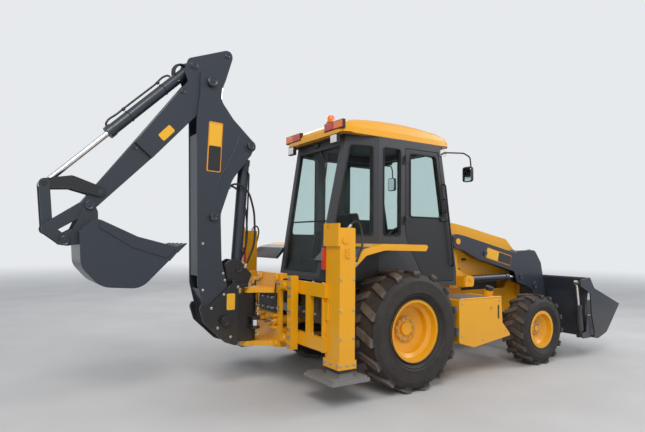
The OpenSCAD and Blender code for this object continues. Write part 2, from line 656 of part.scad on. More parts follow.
module tilt_levers() color(slate) both_sides() difference() {
    union() {
        slab(lever_y0, lever_y0 + 20) polygon(bar_outline(lever_pivot, 66, lever_eye, 48));
        pin(lever_eye, 18, link_y0, lever_y0 + 1);
    }
    pin(lever_pivot, 30 + pin_gap, lever_y0 - 1, lever_y0 + 21);
}
module tilt_links() color(slate) both_sides() difference() {
    slab(link_y0, link_y0 + 20) polygon(bar_outline(lever_eye, 44, shovel_eye, 44));
    pin(lever_eye, 18 + pin_gap, link_y0 - 1, link_y0 + 21);
    pin(shovel_eye, 20, link_y0 - 1, link_y0 + 21);
}
module tilt_barrels() color(slate) both_sides() at_y(tilt_y) barrel(tilt_ram);
module tilt_rods() color(steel) both_sides() at_y(tilt_y) rod(tilt_ram);

// Four-in-one shovel: the back blade with its brackets, and the clam that hinges at the top

blade = [[3120, 1060, 6], [3168, 1060, 6], [3180, 900, 120], [3120, 640, 260], [3236, 300, 20], [3230, 262, 6],
         [3206, 262, 6], [3090, 620, 260], [3128, 880, 120]];
clam_side = [[2930, 970, 26], [2930, 1050, 26], [3160, 1080, 30], [3262, 930, 40], [3890, 690, 8],
             [3880, 650, 8], [3560, 310, 120], [3330, 240, 40], [3250, 262, 6], [3260, 330, 20], [3195, 560, 200],
             [3165, 860, 30]];
module shovel() color(slate) {
    half = shovel_w / 2;
    arm = arm_span / 2;
    union() {
        slab(-half + 40, half - 40) polygon(rounded(blade));
        both_sides() {
            // Ears on each side of a loader arm, and the link's outer ear
            for (y = [arm - arm_w / 2 - side_gap - 22, arm + arm_w / 2 + side_gap])
                slab(y, y + 22) polygon(rounded([[2950, 310, 50], [3220, 262, 0], [3224, 310, 0], [3112, 620, 0],
                                                 [3090, 660, 0], [3060, 480, 60], [2950, 440, 50]]));
            pin(shovel_pivot, 28, arm - arm_w / 2 - side_gap - 23, arm + arm_w / 2 + side_gap + 30);
            for (y = [link_y0 - 26, lever_y0])
                slab(y, y + 20) polygon(rounded([[3018, 780, 36], [3018, 860, 36], [3080, 880, 20], [3140, 960, 0],
                                                 [3128, 700, 0], [3098, 650, 0]]));
            // Base of the clam's cylinder
            slab(half - 112, half - 98) polygon(rounded([[2998, 262, 30], [2998, 334, 30], [3100, 350, 0], [3118, 560, 0], [3212, 300, 0],
                                                           [3212, 262, 0]]));
            slab(half - 41, half - 26) polygon(rounded([[2998, 262, 30], [2998, 334, 30], [3100, 350, 0], [3118, 560, 0], [3200, 300, 0],
                                                          [3200, 262, 0]]));
            pin(clam_base, 17, half - 113, half - 26);
            // Pivot that carries the clam
            slab(half - 78, half - 58) polygon(rounded([[3150, 850, 0], [3255, 880, 50], [3255, 980, 50], [3150, 1050, 0]]));
            pin(clam_pivot, 22, half - 79, half - 2);
        }
    }
}
module shovel_clam() color(slate) {
    half = shovel_w / 2;
    difference() {
        union() {
            pair(half - 16, half) polygon(rounded(clam_side));
            // Floor sheet with the cutting edge
            slab(-half + 1, half - 1) polygon(rounded([[3252, 262, 0], [3330, 240, 40], [3560, 310, 120], [3880, 650, 0],
                [shovel_tip_x, 690, 0], [3870, 668, 0], [3550, 332, 110], [3340, 264, 30], [3256, 286, 0]]));
        }
        both_sides() pin(clam_pivot, 22 + pin_gap, half - 17, half + 1);
    }
}
clam_y = shovel_w / 2 - 69.5;
module clam_barrels() color(slate) both_sides() at_y(clam_y) barrel(clam_ram);
module clam_rods() color(steel) both_sides() at_y(clam_y) rod(clam_ram);

// Backhoe

swing_z = 685;
swing_y = 150;
jaw = rounded([[-1135, -190, 0], [-1135, 190, 0], [-1180, 190, 30], [-1330, 92, 60], [swing_x - 90, 80, 70],
               [swing_x - 90, -80, 70], [-1330, -92, 60], [-1180, -190, 30]]);
module carriage() color(yellow) difference() {
    union() {
        difference() {
            box(frame_rear - 90, frame_rear - 50, -260, 260, 420, 1190);
            // Passages of the swing cylinders
            both_sides() box(frame_rear - 120, frame_rear, swing_y - 62, swing_y + 62, swing_z - 62, swing_z + 62);
        }
        for (z = [430, 985]) translate([0, 0, z]) linear_extrude(52) polygon(jaw);
        // Rails across the beams, the uprights at their ends and the pads that slide on the beams
        for (z = [490, 1030]) box(frame_rear - 90, frame_rear - 50, -470, 470, z, z + 90);
        both_sides() {
            box(frame_rear - 98, frame_rear - 15, 435, 515, 440, 1180);
            for (z = [500, 1010]) box(frame_rear - 16, frame_rear - 0.3, 440, 510, z, z + 110);
        }
        // Hooks over the frame's two beams
        box(frame_rear - 60, frame_rear - 4, -260, 260, 1136, 1190);
        box(frame_rear - 60, frame_rear + 60, -260, 260, 1136, 1160);
        box(frame_rear - 60, frame_rear - 4, -260, 260, 420, 484);
        box(frame_rear - 60, frame_rear + 60, -260, 260, 460, 484);
        box(frame_rear - 51, frame_rear - 0.3, -250, 250, 1010, 1120);
        box(frame_rear - 51, frame_rear - 0.3, -250, 250, 500, 610);
        // Swing cylinders' barrels and the shelf that holds them
        both_sides() {
            translate([0, swing_y, swing_z]) rod_x(swing_x + 205, swing_x + 610, 50);
            box(frame_rear - 89, frame_rear - 55, swing_y - 70, swing_y + 70, swing_z + 40, swing_z + 70);
            box(swing_x + 181, frame_rear - 52, swing_y - 60, swing_y + 60, swing_z + 49, swing_z + 75);
            box(swing_x + 181, frame_rear - 52, swing_y - 60, swing_y + 60, swing_z - 75, swing_z - 49);
        }
        translate([swing_x, 0, 900]) cylinder(r = 40, h = 100);
        translate([swing_x, 0, 470]) cylinder(r = 40, h = 90);
    }
    both_sides() translate([0, swing_y, swing_z]) rod_x(swing_x + 204, swing_x + 600, 26 + pin_gap);
}
module swing_rod(side) color(steel) translate([0, side * swing_y, swing_z]) difference() {
    union() {
        rod_x(swing_x + 20, swing_x + 400, 26);
        translate([swing_x, 0, -30]) cylinder(r = 40, h = 60);
    }
    translate([swing_x, 0, -31]) cylinder(r = 20, h = 62);
}

module kingpost() color(slate) difference() {
    cheek = rounded([[-1565, 461, 20], [-1700, 510, 60], [-1925, 720, 60], [-1970, 860, 40], [-1945, 910, 20], [-1870, 880, 40],
                     [-1640, 1085, 20], [-1500, 1085, 10], [-1500, 1050, 6], [-1560, 1048, 0]]);
    union() {
        translate([swing_x, 0, 488]) cylinder(r = 66, h = 490);
        box(swing_x - 234, swing_x, -80, 80, 488, 978);
        box(swing_x - 235, swing_x - 215, -142, 142, 488, 1000);
        pair(boom_w / 2 + side_gap, boom_w / 2 + side_gap + 26) polygon(cheek);
        box(-1640, -1500, -boom_w / 2 - 20, boom_w / 2 + 20, 1050, 1085);
        box(swing_x - 235, swing_x - 200, -142, 142, 960, 1060);
        // Ears of the swing cylinders
        for (z = [swing_z - 62, swing_z + 36]) translate([0, 0, z]) linear_extrude(26)
            polygon(rounded([[swing_x - 60, -60, 0], [swing_x - 44, -194, 40], [swing_x + 44, -194, 40], [swing_x + 60, -60, 0],
                             [swing_x + 60, 60, 0], [swing_x + 44, 194, 40], [swing_x - 44, 194, 40], [swing_x - 60, 60, 0]]));
        // Bracket of the boom's cylinder, with a boss inside each plate
        pair(66, 88) polygon(rounded([[-1640, 1060, 0], [-1432, 1060, 0], [-1384, 1180, 30], [-1520, 1330, 40],
                                      [-1612, 1342, 30], [-1688, 1290, 30]]));
        box(-1501, -1432, -110, 110, 1050, 1085);
        both_sides() pin(boom_base, 46, 44, 67);
        pin(boom_base, 30, -67, 67);
        pin(boom_foot, 36, -boom_w / 2 - side_gap - 40, boom_w / 2 + side_gap + 40);
    }
    translate([swing_x, 0, 487]) cylinder(r = 40 + pin_gap, h = 74);
    translate([swing_x, 0, 899]) cylinder(r = 40 + pin_gap, h = 80);
}

boom_side = rounded([[-1626, 640, 74], [-1655, 1000, 200], [-1740, 1330, 300], [-1760, 1800, 200], [-1640, 2160, 300],
                     [-1430, 2440, 50], [-1390, 2560, 50], [-1640, 2790, 100], [-1780, 2970, 150], [-1770, 3200, 90],
                     [-1860, 3270, 90], [-2000, 3240, 60], [-2000, 3000, 0], [-2030, 2740, 0], [-1985, 1100, 200],
                     [-1880, 700, 150], [-1790, 640, 60]]);
module boom() color(slate) {
    half = boom_w / 2;
    difference() {
        union() {
            pair(half - boom_plate, half) polygon(boom_side);
            // Rear web, lower front web and the hump's short web
            slab(-half + 1, half - 1) polygon([[-1981, 1180], [-1963, 1180], [-2002, 2600], [-2020, 2600]]);
            slab(-half + 1, half - 1) polygon([[-1962, 1050], [-1944, 1050], [-1846, 840], [-1864, 830]]);
            slab(-half + 1, half - 1) polygon([[-1745, 1330], [-1763, 1330], [-1700, 1060], [-1680, 1060]]);
            pin(boom_foot, 84, -half + 1, half - 1);
            pin(dipper_base, 30, -half - 16, half + 16);
            both_sides() {
                pin(dipper_base, 54, 44, half + 8);
                pin(boom_eye, 62, 44, half + 8);
            }
            pin(dipper_pivot, 40, -half - 22, half + 22);
        }
        pin(boom_foot, 36 + pin_gap, -half - 1, half + 1);
    }
}
module boom_barrel() color(slate) barrel(boom_ram);
module boom_rod() color(steel) rod(boom_ram);

// A place on the dipper: so far from the bucket's pin towards the boom's head, and so far aside
function at_dipper(dist, aside) = along(hoe_pivot, dipper_pivot, dist, aside);
dipper_tail = rounded([[-1650, 3440, 56], [-1690, 3520, 56], [-2120, 3345, 50], [-2162, 3220, 0], [-2060, 2960, 60], [-1900, 3040, 40],
                       [-1760, 3090, 60], [-1720, 3200, 120]]);
module dipper() color(slate) {
    half = dipper_w / 2;
    difference() {
        union() {
            pair(half - 12, half) polygon(dipper_tail);
            // Box beam that narrows to the tip
            slab(-half + 32, half - 32) polygon(bar_outline(hoe_pivot, 62, guide_pivot, 62));
            pair(half - 44, half - 32) polygon([at_dipper(20, 60), at_dipper(780, 112), at_dipper(780, -110), at_dipper(20, -60)]);
            pair(half - 33, half) polygon([at_dipper(720, 106), at_dipper(1560, 165), at_dipper(1600, -130), at_dipper(720, -106)]);
            for (s = [1, -1]) slab(-half + 43, half - 43)
                polygon([at_dipper(30, s * 52), at_dipper(760, s * 108), at_dipper(760, s * 92), at_dipper(30, s * 38)]);
            slab(-half + 1, half - 1)
                polygon([at_dipper(722, 104), at_dipper(1420, 152), at_dipper(1420, 138), at_dipper(722, 90)]);
            slab(-half + 1, half - 1)
                polygon([at_dipper(722, -90), at_dipper(1600, -114), at_dipper(1600, -128), at_dipper(722, -104)]);
            pin(dipper_pivot, 78, -half, half);
            both_sides() {
                pin(dipper_eye, 56, 44, half);
                pin(hoe_base, 52, 38, half + 4);
            }
            pin(hoe_base, 26, -half - 12, half + 12);
            pin(guide_pivot, 26, -104, 104);
        }
        pin(dipper_pivot, 40 + pin_gap, -half - 3, half + 3);
        pin(hoe_pivot, 26 + pin_gap, -half, half);
    }
}
module dipper_barrel() color(slate) barrel(dipper_ram);
module dipper_rod() color(steel) rod(dipper_ram);
module bucket_barrel() color(slate) barrel(hoe_ram);
module bucket_rod() color(steel) rod(hoe_ram);

module guide_levers() color(slate) difference() {
    union() {
        // Each lever is arched over the line between its pins
        pair(84, 102) union() {
            polygon(bar_outline(guide_pivot, 46, lever_mid, 56));
            polygon(bar_outline(hoe_eye, lever_end, lever_mid, 55));
        }
        both_sides() pin(hoe_eye, 24, 101, 130);
    }
    both_sides() pin(guide_pivot, 26 + pin_gap, 80, 104);
}
module bucket_link() color(slate) difference() {
    union() {
        pair(108, 126) polygon(bar_outline(hoe_eye, lever_end, hoe_link_pin, 42));
        pin(along(hoe_eye, hoe_link_pin, 260), 26, -110, 110);
    }
    both_sides() pin(hoe_eye, 24 + pin_gap, 107, 127);
    both_sides() pin(hoe_link_pin, 22, 107, 127);
}

bucket_pin = [-3177, 1520];
bucket_outer = [[-2905, 1700, 10], [-2960, 1712, 20], [-3080, 1600, 20], [-3060, 1300, 150], [-2900, 1120, 200], [-2560, 1095, 180],
                [-2330, 1330, 60], [-2236, 1466, 0], [-2254, 1478, 0], [-2350, 1345, 60], [-2570, 1117, 160],
                [-2890, 1142, 180], [-3040, 1306, 130], [-3058, 1592, 10], [-2955, 1688, 10], [-2915, 1680, 6]];
bucket_side = [[-2905, 1700, 10], [-2960, 1712, 20], [-3080, 1600, 20], [-3060, 1300, 150], [-2900, 1120, 200], [-2560, 1095, 180],
               [-2330, 1330, 60], [-2236, 1466, 0], [-2300, 1484, 20], [-2600, 1560, 60]];
module hoe_bucket() color(slate) {
    half = hoe_w / 2;
    tooth_step = (hoe_w - 70) / (hoe_teeth - 1);
    union() {
        slab(-half + 1, half - 1) polygon(rounded(bucket_outer));
        pair(half - 16, half) polygon(rounded(bucket_side));
        // Side cutter along the open edge of each cheek
        pair(half - 1, half + 10) polygon(rounded([[-2905, 1696, 10], [-2930, 1640, 20], [-2640, 1462, 120], [-2340, 1368, 0],
                                                   [-2262, 1452, 0], [-2310, 1480, 20], [-2606, 1556, 100]]));
        // Ears, then the coupler's bars between them
        pair(156, 178) polygon(rounded([[-3060, 1490, 0], [-3192, 1468, 44], [-3214, 1562, 44], [-3110, 1625, 20], [-3048, 1780, 30],
                                        [-2975, 1892, 50], [-2920, 1780, 56], [-2915, 1690, 0], [-2960, 1700, 0], [-3060, 1590, 0]]));
        pair(132, 157) union() {
            polygon(bar_outline(hoe_link_pin, 48, hoe_pivot, 58));
            polygon(bar_outline(hoe_link_pin, 44, bucket_pin, 42));
        }
        pin(bucket_pin, 30, -190, 190);
        pin(hoe_pivot, 26, -190, 190);
        // Teeth along the lip
        for (i = [0:hoe_teeth - 1]) {
            y = -hoe_w / 2 + 35 + i * tooth_step;
            slab(y - 34, y + 34) polygon([[-2330, 1350], [-2312, 1338], [-2215, 1450], [-2262, 1470]]);
            slab(y - 26, y + 26) polygon([[-2285, 1425], [-2236, 1415], [-2150, 1500], [-2156, 1506], [-2275, 1470]]);
        }
    }
}

placed() main_frame();
placed() rear_frame();
placed() axles();
placed() engine();
placed() {
    cab_frame();
    color(post_grey) door_hinge_pins();
}
placed() cab_glass();
placed() roof();
placed() fenders();
placed() side_tanks();
placed() seat();
placed() controls();
placed() lamps();
placed() fittings();
placed() wheel_at(0, rear_track / 2, rear_axle_z) tyre(rear_wheel, 1);  // rear_tyre_left
placed() wheel_at(0, -rear_track / 2, rear_axle_z) tyre(rear_wheel, -1);  // rear_tyre_right
placed() wheel_at(0, rear_track / 2, rear_axle_z) rim(rear_wheel, 1);  // rear_rim_left
placed() wheel_at(0, -rear_track / 2, rear_axle_z) rim(rear_wheel, -1);  // rear_rim_right
placed() wheel_at(front_x, front_track / 2, front_axle_z) tyre(front_wheel, 1);  // front_tyre_left
placed() wheel_at(front_x, -front_track / 2, front_axle_z) tyre(front_wheel, -1);  // front_tyre_right
placed() wheel_at(front_x, front_track / 2, front_axle_z) rim(front_wheel, 1);  // front_rim_left
placed() wheel_at(front_x, -front_track / 2, front_axle_z) rim(front_wheel, -1);  // front_rim_right
placed() knuckle(1);  // knuckle_left
placed() knuckle(-1);  // knuckle_right
placed() door(1);  // door_left
placed() door(-1);  // door_right
placed() door_pane(1);  // door_glass_left
placed() door_pane(-1);  // door_glass_right
placed() hood();
placed() grille();
placed() loader_arms();
placed() lift_barrels();
placed() lift_rods();
placed() tilt_levers();
placed() tilt_links();
placed() tilt_barrels();
placed() tilt_rods();
placed() shovel();
placed() shovel_clam();
placed() clam_barrels();
placed() clam_rods();
placed() carriage();
placed() swing_rod(1);  // swing_rod_left
placed() swing_rod(-1);  // swing_rod_right
placed() kingpost();
placed() boom();
placed() boom_barrel();
placed() boom_rod();
placed() dipper();
placed() dipper_barrel();
placed() dipper_rod();
placed() bucket_barrel();
placed() bucket_rod();
placed() guide_levers();
placed() bucket_link();
placed() hoe_bucket();
placed() stabilizer_leg();  // stabilizer_left
placed() mirror([0, 1, 0]) stabilizer_leg();  // stabilizer_right
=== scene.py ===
import json
import math

import bpy
from mathutils import Matrix, Vector


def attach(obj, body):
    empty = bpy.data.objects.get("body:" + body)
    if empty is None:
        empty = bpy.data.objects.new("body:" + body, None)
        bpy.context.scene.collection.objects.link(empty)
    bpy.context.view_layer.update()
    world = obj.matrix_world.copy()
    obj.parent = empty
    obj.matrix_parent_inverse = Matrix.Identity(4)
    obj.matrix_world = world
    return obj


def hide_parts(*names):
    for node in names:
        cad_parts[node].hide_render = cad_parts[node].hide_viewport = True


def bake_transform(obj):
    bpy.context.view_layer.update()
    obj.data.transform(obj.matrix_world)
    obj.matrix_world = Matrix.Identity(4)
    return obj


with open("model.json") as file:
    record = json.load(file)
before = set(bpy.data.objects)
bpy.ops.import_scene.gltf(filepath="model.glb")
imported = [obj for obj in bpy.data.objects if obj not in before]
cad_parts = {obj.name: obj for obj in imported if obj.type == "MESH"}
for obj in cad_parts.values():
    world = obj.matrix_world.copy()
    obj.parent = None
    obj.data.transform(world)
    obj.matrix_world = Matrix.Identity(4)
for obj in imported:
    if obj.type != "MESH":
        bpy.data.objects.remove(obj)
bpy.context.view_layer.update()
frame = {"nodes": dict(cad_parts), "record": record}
nodes = frame["nodes"]
CHASSIS = "chassis"
MIDDLE = 263.5


def at(x, y, z):
    """A place in the drawing's millimetres, from the rear axle, as metres in the shared frame."""
    return Vector(((x - MIDDLE) / 1000, y / 1000, z / 1000))


# ---------------------------------------------------------------- shader groups


def add(tree, kind, sockets=None, **settings):
    """One node, with its sockets set to a value or fed by another node's output."""
    node = tree.nodes.new("ShaderNode" + kind)
    for name, value in settings.items():
        setattr(node, name, value)
    for name, value in (sockets or {}).items():
        if isinstance(value, bpy.types.NodeSocket):
            tree.links.new(value, node.inputs[name])
        else:
            node.inputs[name].default_value = value
    return node


KIND = {"f": "NodeSocketFloat", "c": "NodeSocketColor", "v": "NodeSocketVector"}


def new_group(name, inputs, outputs):
    tree = bpy.data.node_groups.new(name, "ShaderNodeTree")
    for label, kind, value in inputs:
        tree.interface.new_socket(name=label, in_out="INPUT", socket_type=KIND[kind]).default_value = value
    for label, kind in outputs:
        tree.interface.new_socket(name=label, in_out="OUTPUT", socket_type=KIND[kind])
    return tree, tree.nodes.new("NodeGroupInput").outputs, tree.nodes.new("NodeGroupOutput").inputs


def ramp(tree, value, low, high, to_low=0.0, to_high=1.0):
    return add(tree, "MapRange", {"Value": value, "From Min": low, "From Max": high, "To Min": to_low,
                                  "To Max": to_high},
               interpolation_type="SMOOTHSTEP").outputs["Result"]


def maths(tree, operation, a, b=0.0, clamp=False):
    return add(tree, "Math", {0: a, 1: b}, operation=operation, use_clamp=clamp).outputs[0]


def times(tree, a, b, clamp=False):
    return maths(tree, "MULTIPLY", a, b, clamp)


def here(tree):
    """The shaded point's place on its object, in metres."""
    return add(tree, "TexCoord").outputs["Object"]


def noise(tree, where, scale, detail, rough=0.5):
    return add(tree, "TexNoise", {"Vector": where, "Scale": scale, "Detail": detail, "Roughness": rough}).outputs[0]


def emboss(tree, put, strength, distance, height, normal=None):
    sockets = {"Strength": strength, "Distance": distance, "Height": height}
    if normal is not None:
        sockets["Normal"] = normal
    tree.links.new(add(tree, "Bump", sockets).outputs[0], put["Normal"])


def blend_colour(tree, share, a, b):
    node = add(tree, "Mix", {0: share}, data_type="RGBA")
    for socket, value in ((node.inputs[6], a), (node.inputs[7], b)):
        if isinstance(value, bpy.types.NodeSocket):
            tree.links.new(value, socket)
        else:
            socket.default_value = (*value, 1)
    return node.outputs[2]


def edge_wear_group():
    """Finds the solid's edges: a broken mask of rubbed paint, and a normal that rounds them."""
    tree, into, out = new_group("edge_wear", [("Radius", "f", 0.005), ("Scale", "f", 14.0), ("Amount", "f", 0.5)],
                                [("Mask", "f"), ("Normal", "v")])
    rounded = add(tree, "Bevel", {"Radius": into["Radius"]}, samples=4).outputs[0]
    flat = add(tree, "NewGeometry").outputs["Normal"]
    across = add(tree, "VectorMath", {0: rounded, 1: flat}, operation="DOT_PRODUCT").outputs["Value"]
    spots = noise(tree, here(tree), into["Scale"], 7.0, 0.7)
    edge = ramp(tree, across, 0.985, 0.8)
    broken = ramp(tree, maths(tree, "ADD", spots, times(tree, into["Amount"], 0.35)), 0.58, 0.72)
    tree.links.new(times(tree, edge, broken, True), out["Mask"])
    tree.links.new(rounded, out["Normal"])
    return tree


def dust_group():
    """Dust that lies on upward faces and thickens towards the ground."""
    tree, into, out = new_group("dust", [("Ground", "f", 0.2), ("Reach", "f", 1.2), ("Scale", "f", 6.0),
                                         ("Amount", "f", 0.5)],
                                [("Mask", "f")])
    coord = add(tree, "TexCoord")
    place = add(tree, "SeparateXYZ", {0: coord.outputs["Object"]}).outputs
    facing = add(tree, "SeparateXYZ", {0: coord.outputs["Normal"]}).outputs
    low = ramp(tree, place["Z"], maths(tree, "ADD", into["Ground"], into["Reach"]), into["Ground"])
    up = ramp(tree, facing["Z"], 0.2, 0.95, 0.0, 0.5)
    spots = noise(tree, coord.outputs["Object"], into["Scale"], 8.0, 0.65)
    thick = times(tree, maths(tree, "MAXIMUM", low, up), into["Amount"])
    tree.links.new(times(tree, thick, ramp(tree, spots, 0.3, 0.75, 0.25, 1.0), True), out["Mask"])
    return tree


def mottle_group():
    """A colour that drifts a little over the surface, as sprayed paint does."""
    tree, into, out = new_group("mottle", [("Colour", "c", (1, 1, 1, 1)), ("Scale", "f", 2.0), ("Spread", "f", 0.1)],
                                [("Colour", "c")])
    cloud = noise(tree, here(tree), into["Scale"], 5.0)
    swing = times(tree, maths(tree, "SUBTRACT", cloud, 0.5), into["Spread"])
    tone = add(tree, "HueSaturation", {"Value": maths(tree, "ADD", swing, 1.0), "Color": into["Colour"]})
    tree.links.new(tone.outputs[0], out["Colour"])
    return tree


def relief_group():
    """Height of a fine skin: orange peel, cast grain or moulded texture, by its scale."""
    tree, into, out = new_group("relief", [("Scale", "f", 300.0), ("Coarse", "f", 0.3)], [("Height", "f")])
    where = here(tree)
    fine = noise(tree, where, into["Scale"], 3.0)
    broad = noise(tree, where, times(tree, into["Scale"], 0.08), 2.0)
    tree.links.new(maths(tree, "ADD", fine, times(tree, broad, into["Coarse"])), out["Height"])
    return tree


def wheel_group():
    """Distance from an axle that lies along Y, to tell tread from sidewall."""
    tree, into, out = new_group("wheel_distance", [("Axle X", "f", 0.0), ("Axle Z", "f", 0.5)], [("Distance", "f")])
    place = add(tree, "SeparateXYZ", {0: here(tree)}).outputs
    dx = maths(tree, "SUBTRACT", place["X"], into["Axle X"])
    dz = maths(tree, "SUBTRACT", place["Z"], into["Axle Z"])
    squared = maths(tree, "ADD", times(tree, dx, dx), times(tree, dz, dz))
    tree.links.new(maths(tree, "SQRT", squared), out["Distance"])
    return tree


GROUPS = {"edge_wear": edge_wear_group(), "dust": dust_group(), "mottle": mottle_group(), "relief": relief_group(),
          "wheel_distance": wheel_group()}


def use(tree, name, **sockets):
    node = tree.nodes.new("ShaderNodeGroup")
    node.node_tree = GROUPS[name]
    for label, value in sockets.items():
        label = label.replace("_", " ")
        if isinstance(value, bpy.types.NodeSocket):
            tree.links.new(value, node.inputs[label])
        else:
            node.inputs[label].default_value = value
    return node.outputs


# ---------------------------------------------------------------- materials

DUST = (0.30, 0.245, 0.19)


def shader(name, **constants):
    """A material with its Principled shader; constants go straight onto the shader's sockets."""
    made = bpy.data.materials.new(name)
    made.use_nodes = True
    principled = made.node_tree.nodes["Principled BSDF"]
    for label, value in constants.items():
        principled.inputs[label.replace("_", " ")].default_value = value
    return made, made.node_tree, principled.inputs


def painted(name, colour, under, rough=0.32, coat=0.35, metal=0.0, edge=0.35, dust=0.35, reach=1.2, spread=0.12,
            grain=420.0, bump=0.05, radius=0.005, dust_colour=DUST, coarse=0.3):
    made, tree, put = shader(name, Coat_Weight=coat, Coat_Roughness=0.12, Metallic=metal)
    wear = use(tree, "edge_wear", Radius=radius, Amount=edge)
    lying = use(tree, "dust", Amount=dust, Reach=reach)["Mask"]
    skin = use(tree, "mottle", Colour=(*colour, 1), Spread=spread)["Colour"]
    rubbed = blend_colour(tree, times(tree, wear["Mask"], edge), skin, under)
    tree.links.new(blend_colour(tree, lying, rubbed, dust_colour), put["Base Color"])
    tree.links.new(ramp(tree, lying, 0.0, 0.7, rough, 0.85), put["Roughness"])
    height = use(tree, "relief", Scale=grain, Coarse=coarse)["Height"]
    emboss(tree, put, bump, 0.002, height, wear["Normal"])
    return made


def tyre_rubber(name, axle_x, axle_z, carcass, outer, dusting):
    """Rubber with pale dust on the lugs, darker between them and on the sidewall."""
    made, tree, put = shader(name, Specular_IOR_Level=0.3)
    away = use(tree, "wheel_distance", Axle_X=axle_x, Axle_Z=axle_z)["Distance"]
    cloud = noise(tree, here(tree), 9.0, 8.0, 0.7)
    crown = ramp(tree, away, carcass, outer, 0.12, 1.0)
    mask = times(tree, times(tree, crown, dusting), ramp(tree, cloud, 0.25, 0.7, 0.35, 1.0), True)
    rubber = use(tree, "mottle", Colour=(0.022, 0.020, 0.019, 1), Spread=0.5, Scale=5.0)["Colour"]
    tree.links.new(blend_colour(tree, mask, rubber, (0.25, 0.20, 0.165)), put["Base Color"])
    tree.links.new(ramp(tree, mask, 0.0, 0.6, 0.55, 0.95), put["Roughness"])
    height = use(tree, "relief", Scale=160.0, Coarse=1.2)["Height"]
    edge = use(tree, "edge_wear", Radius=0.006, Amount=0.0)["Normal"]
    emboss(tree, put, 0.25, 0.002, height, edge)
    return made


def bright_metal(name, colour, rough, streaks, scale=(6.0, 6.0, 90.0)):
    """Chrome or rubbed steel: fine streaks in its gloss."""
    made, tree, put = shader(name, Metallic=1.0)
    turned = add(tree, "Mapping", {"Vector": here(tree), "Scale": scale})
    lines = noise(tree, turned.outputs[0], 4.0, 6.0)
    tree.links.new(ramp(tree, lines, 0.3, 0.7, rough, rough + streaks), put["Roughness"])
    tree.links.new(use(tree, "mottle", Colour=(*colour, 1), Spread=0.25, Scale=7.0)["Colour"], put["Base Color"])
    edge = use(tree, "edge_wear", Radius=0.002, Amount=0.0)["Normal"]
    emboss(tree, put, 0.04, 0.001, lines, edge)
    return made


def lens(name, colour, glow=0.0, ribs=90.0):
    """Moulded lamp lens with fine ribs behind a glossy face."""
    made, tree, put = shader(name, Roughness=0.12, Coat_Weight=0.6, Transmission_Weight=0.25)
    where = add(tree, "Mapping", {"Vector": here(tree), "Scale": (0.2, 1.0, 1.0)}).outputs[0]
    rib = add(tree, "TexWave", {"Vector": where, "Scale": ribs, "Distortion": 0.0}, bands_direction="Y").outputs[0]
    bright = times(tree, add(tree, "RGBToBW", {0: rib}).outputs[0], 0.35)
    tree.links.new(blend_colour(tree, bright, colour, tuple(min(1.0, c * 2.2 + 0.03) for c in colour)),
                   put["Base Color"])
    emboss(tree, put, 0.3, 0.002, bright)
    if glow:
        put["Emission Color"].default_value = (*colour, 1)
        put["Emission Strength"].default_value = glow
    return made


def window_glass(name, colour):
    made, tree, put = shader(name, Transmission_Weight=1.0, IOR=1.12, Metallic=0.0, Specular_IOR_Level=0.9)
    film = noise(tree, here(tree), 2.5, 6.0)
    tree.links.new(ramp(tree, film, 0.45, 0.8, 0.0, 0.06), put["Roughness"])
    tree.links.new(use(tree, "mottle", Colour=(*colour, 1), Spread=0.08, Scale=1.0)["Colour"], put["Base Color"])
    return made


def moulded(name, colour, rough, grain, bump, spread=0.15, dust=0.2, radius=0.002):
    return painted(name, colour, tuple(c * 2.5 for c in colour), rough=rough, coat=0.0, edge=0.1, dust=dust,
                   spread=spread,
                   grain=grain, bump=bump, radius=radius)


EARTH = (0.30, 0.19, 0.08)


def yellow_coat(name):
    return painted(name, (0.82, 0.37, 0.002), (0.24, 0.12, 0.035), rough=0.36, coat=0.16, dust=0.13, reach=0.8,
                   spread=0.08,
                   dust_colour=EARTH)


YELLOW = yellow_coat("yellow_enamel")
SLATE = painted("slate_enamel", (0.021, 0.027, 0.039), (0.12, 0.11, 0.10), rough=0.4, coat=0.16, edge=0.45, dust=0.14,
                reach=0.8,
                dust_colour=EARTH)
BLACK = painted("black_enamel", (0.010, 0.010, 0.011), (0.08, 0.07, 0.06), rough=0.45, coat=0.1, dust=0.2)
POST = painted("cab_post_coat", (0.040, 0.041, 0.047), (0.10, 0.09, 0.08), rough=0.5, coat=0.05, grain=700.0,
               bump=0.1, dust=0.12)
DOOR = painted("door_frame_coat", (0.014, 0.014, 0.015), (0.06, 0.06, 0.055), rough=0.45, coat=0.1, grain=700.0,
               bump=0.1, dust=0.1)
GRIME = painted("oily_chassis_paint", (0.013, 0.012, 0.012), (0.09, 0.07, 0.05), rough=0.6, coat=0.0, edge=0.3,
                dust=0.5, reach=1.6,
                grain=160.0, bump=0.3, dust_colour=(0.10, 0.075, 0.05))
CHROME = bright_metal("rod_chrome_plate", (0.80, 0.81, 0.82), 0.07, 0.12)
WORN = bright_metal("rubbed_steel", (0.36, 0.34, 0.32), 0.34, 0.3, scale=(8.0, 40.0, 8.0))
ZINC = bright_metal("zinc_plated_steel", (0.52, 0.51, 0.48), 0.3, 0.2)
GLASS = window_glass("tinted_glass", (0.72, 0.82, 0.81))
IRON = painted("engine_cast_iron", (0.05, 0.05, 0.052), (0.12, 0.10, 0.09), rough=0.6, coat=0.0, metal=0.3,
               grain=180.0, bump=0.35)
TRIM = moulded("moulded_black", (0.014, 0.014, 0.015), 0.55, 500.0, 0.2)
HOSE = moulded("hose_rubber", (0.012, 0.012, 0.013), 0.5, 900.0, 0.15, dust=0.25)
SEAL = moulded("window_seal_rubber", (0.009, 0.009, 0.009), 0.7, 600.0, 0.1)
VINYL = moulded("seat_cloth", (0.022, 0.022, 0.026), 0.8, 1400.0, 0.5, spread=0.3)
AMBER = lens("amber_lens", (0.85, 0.16, 0.01), glow=0.12)
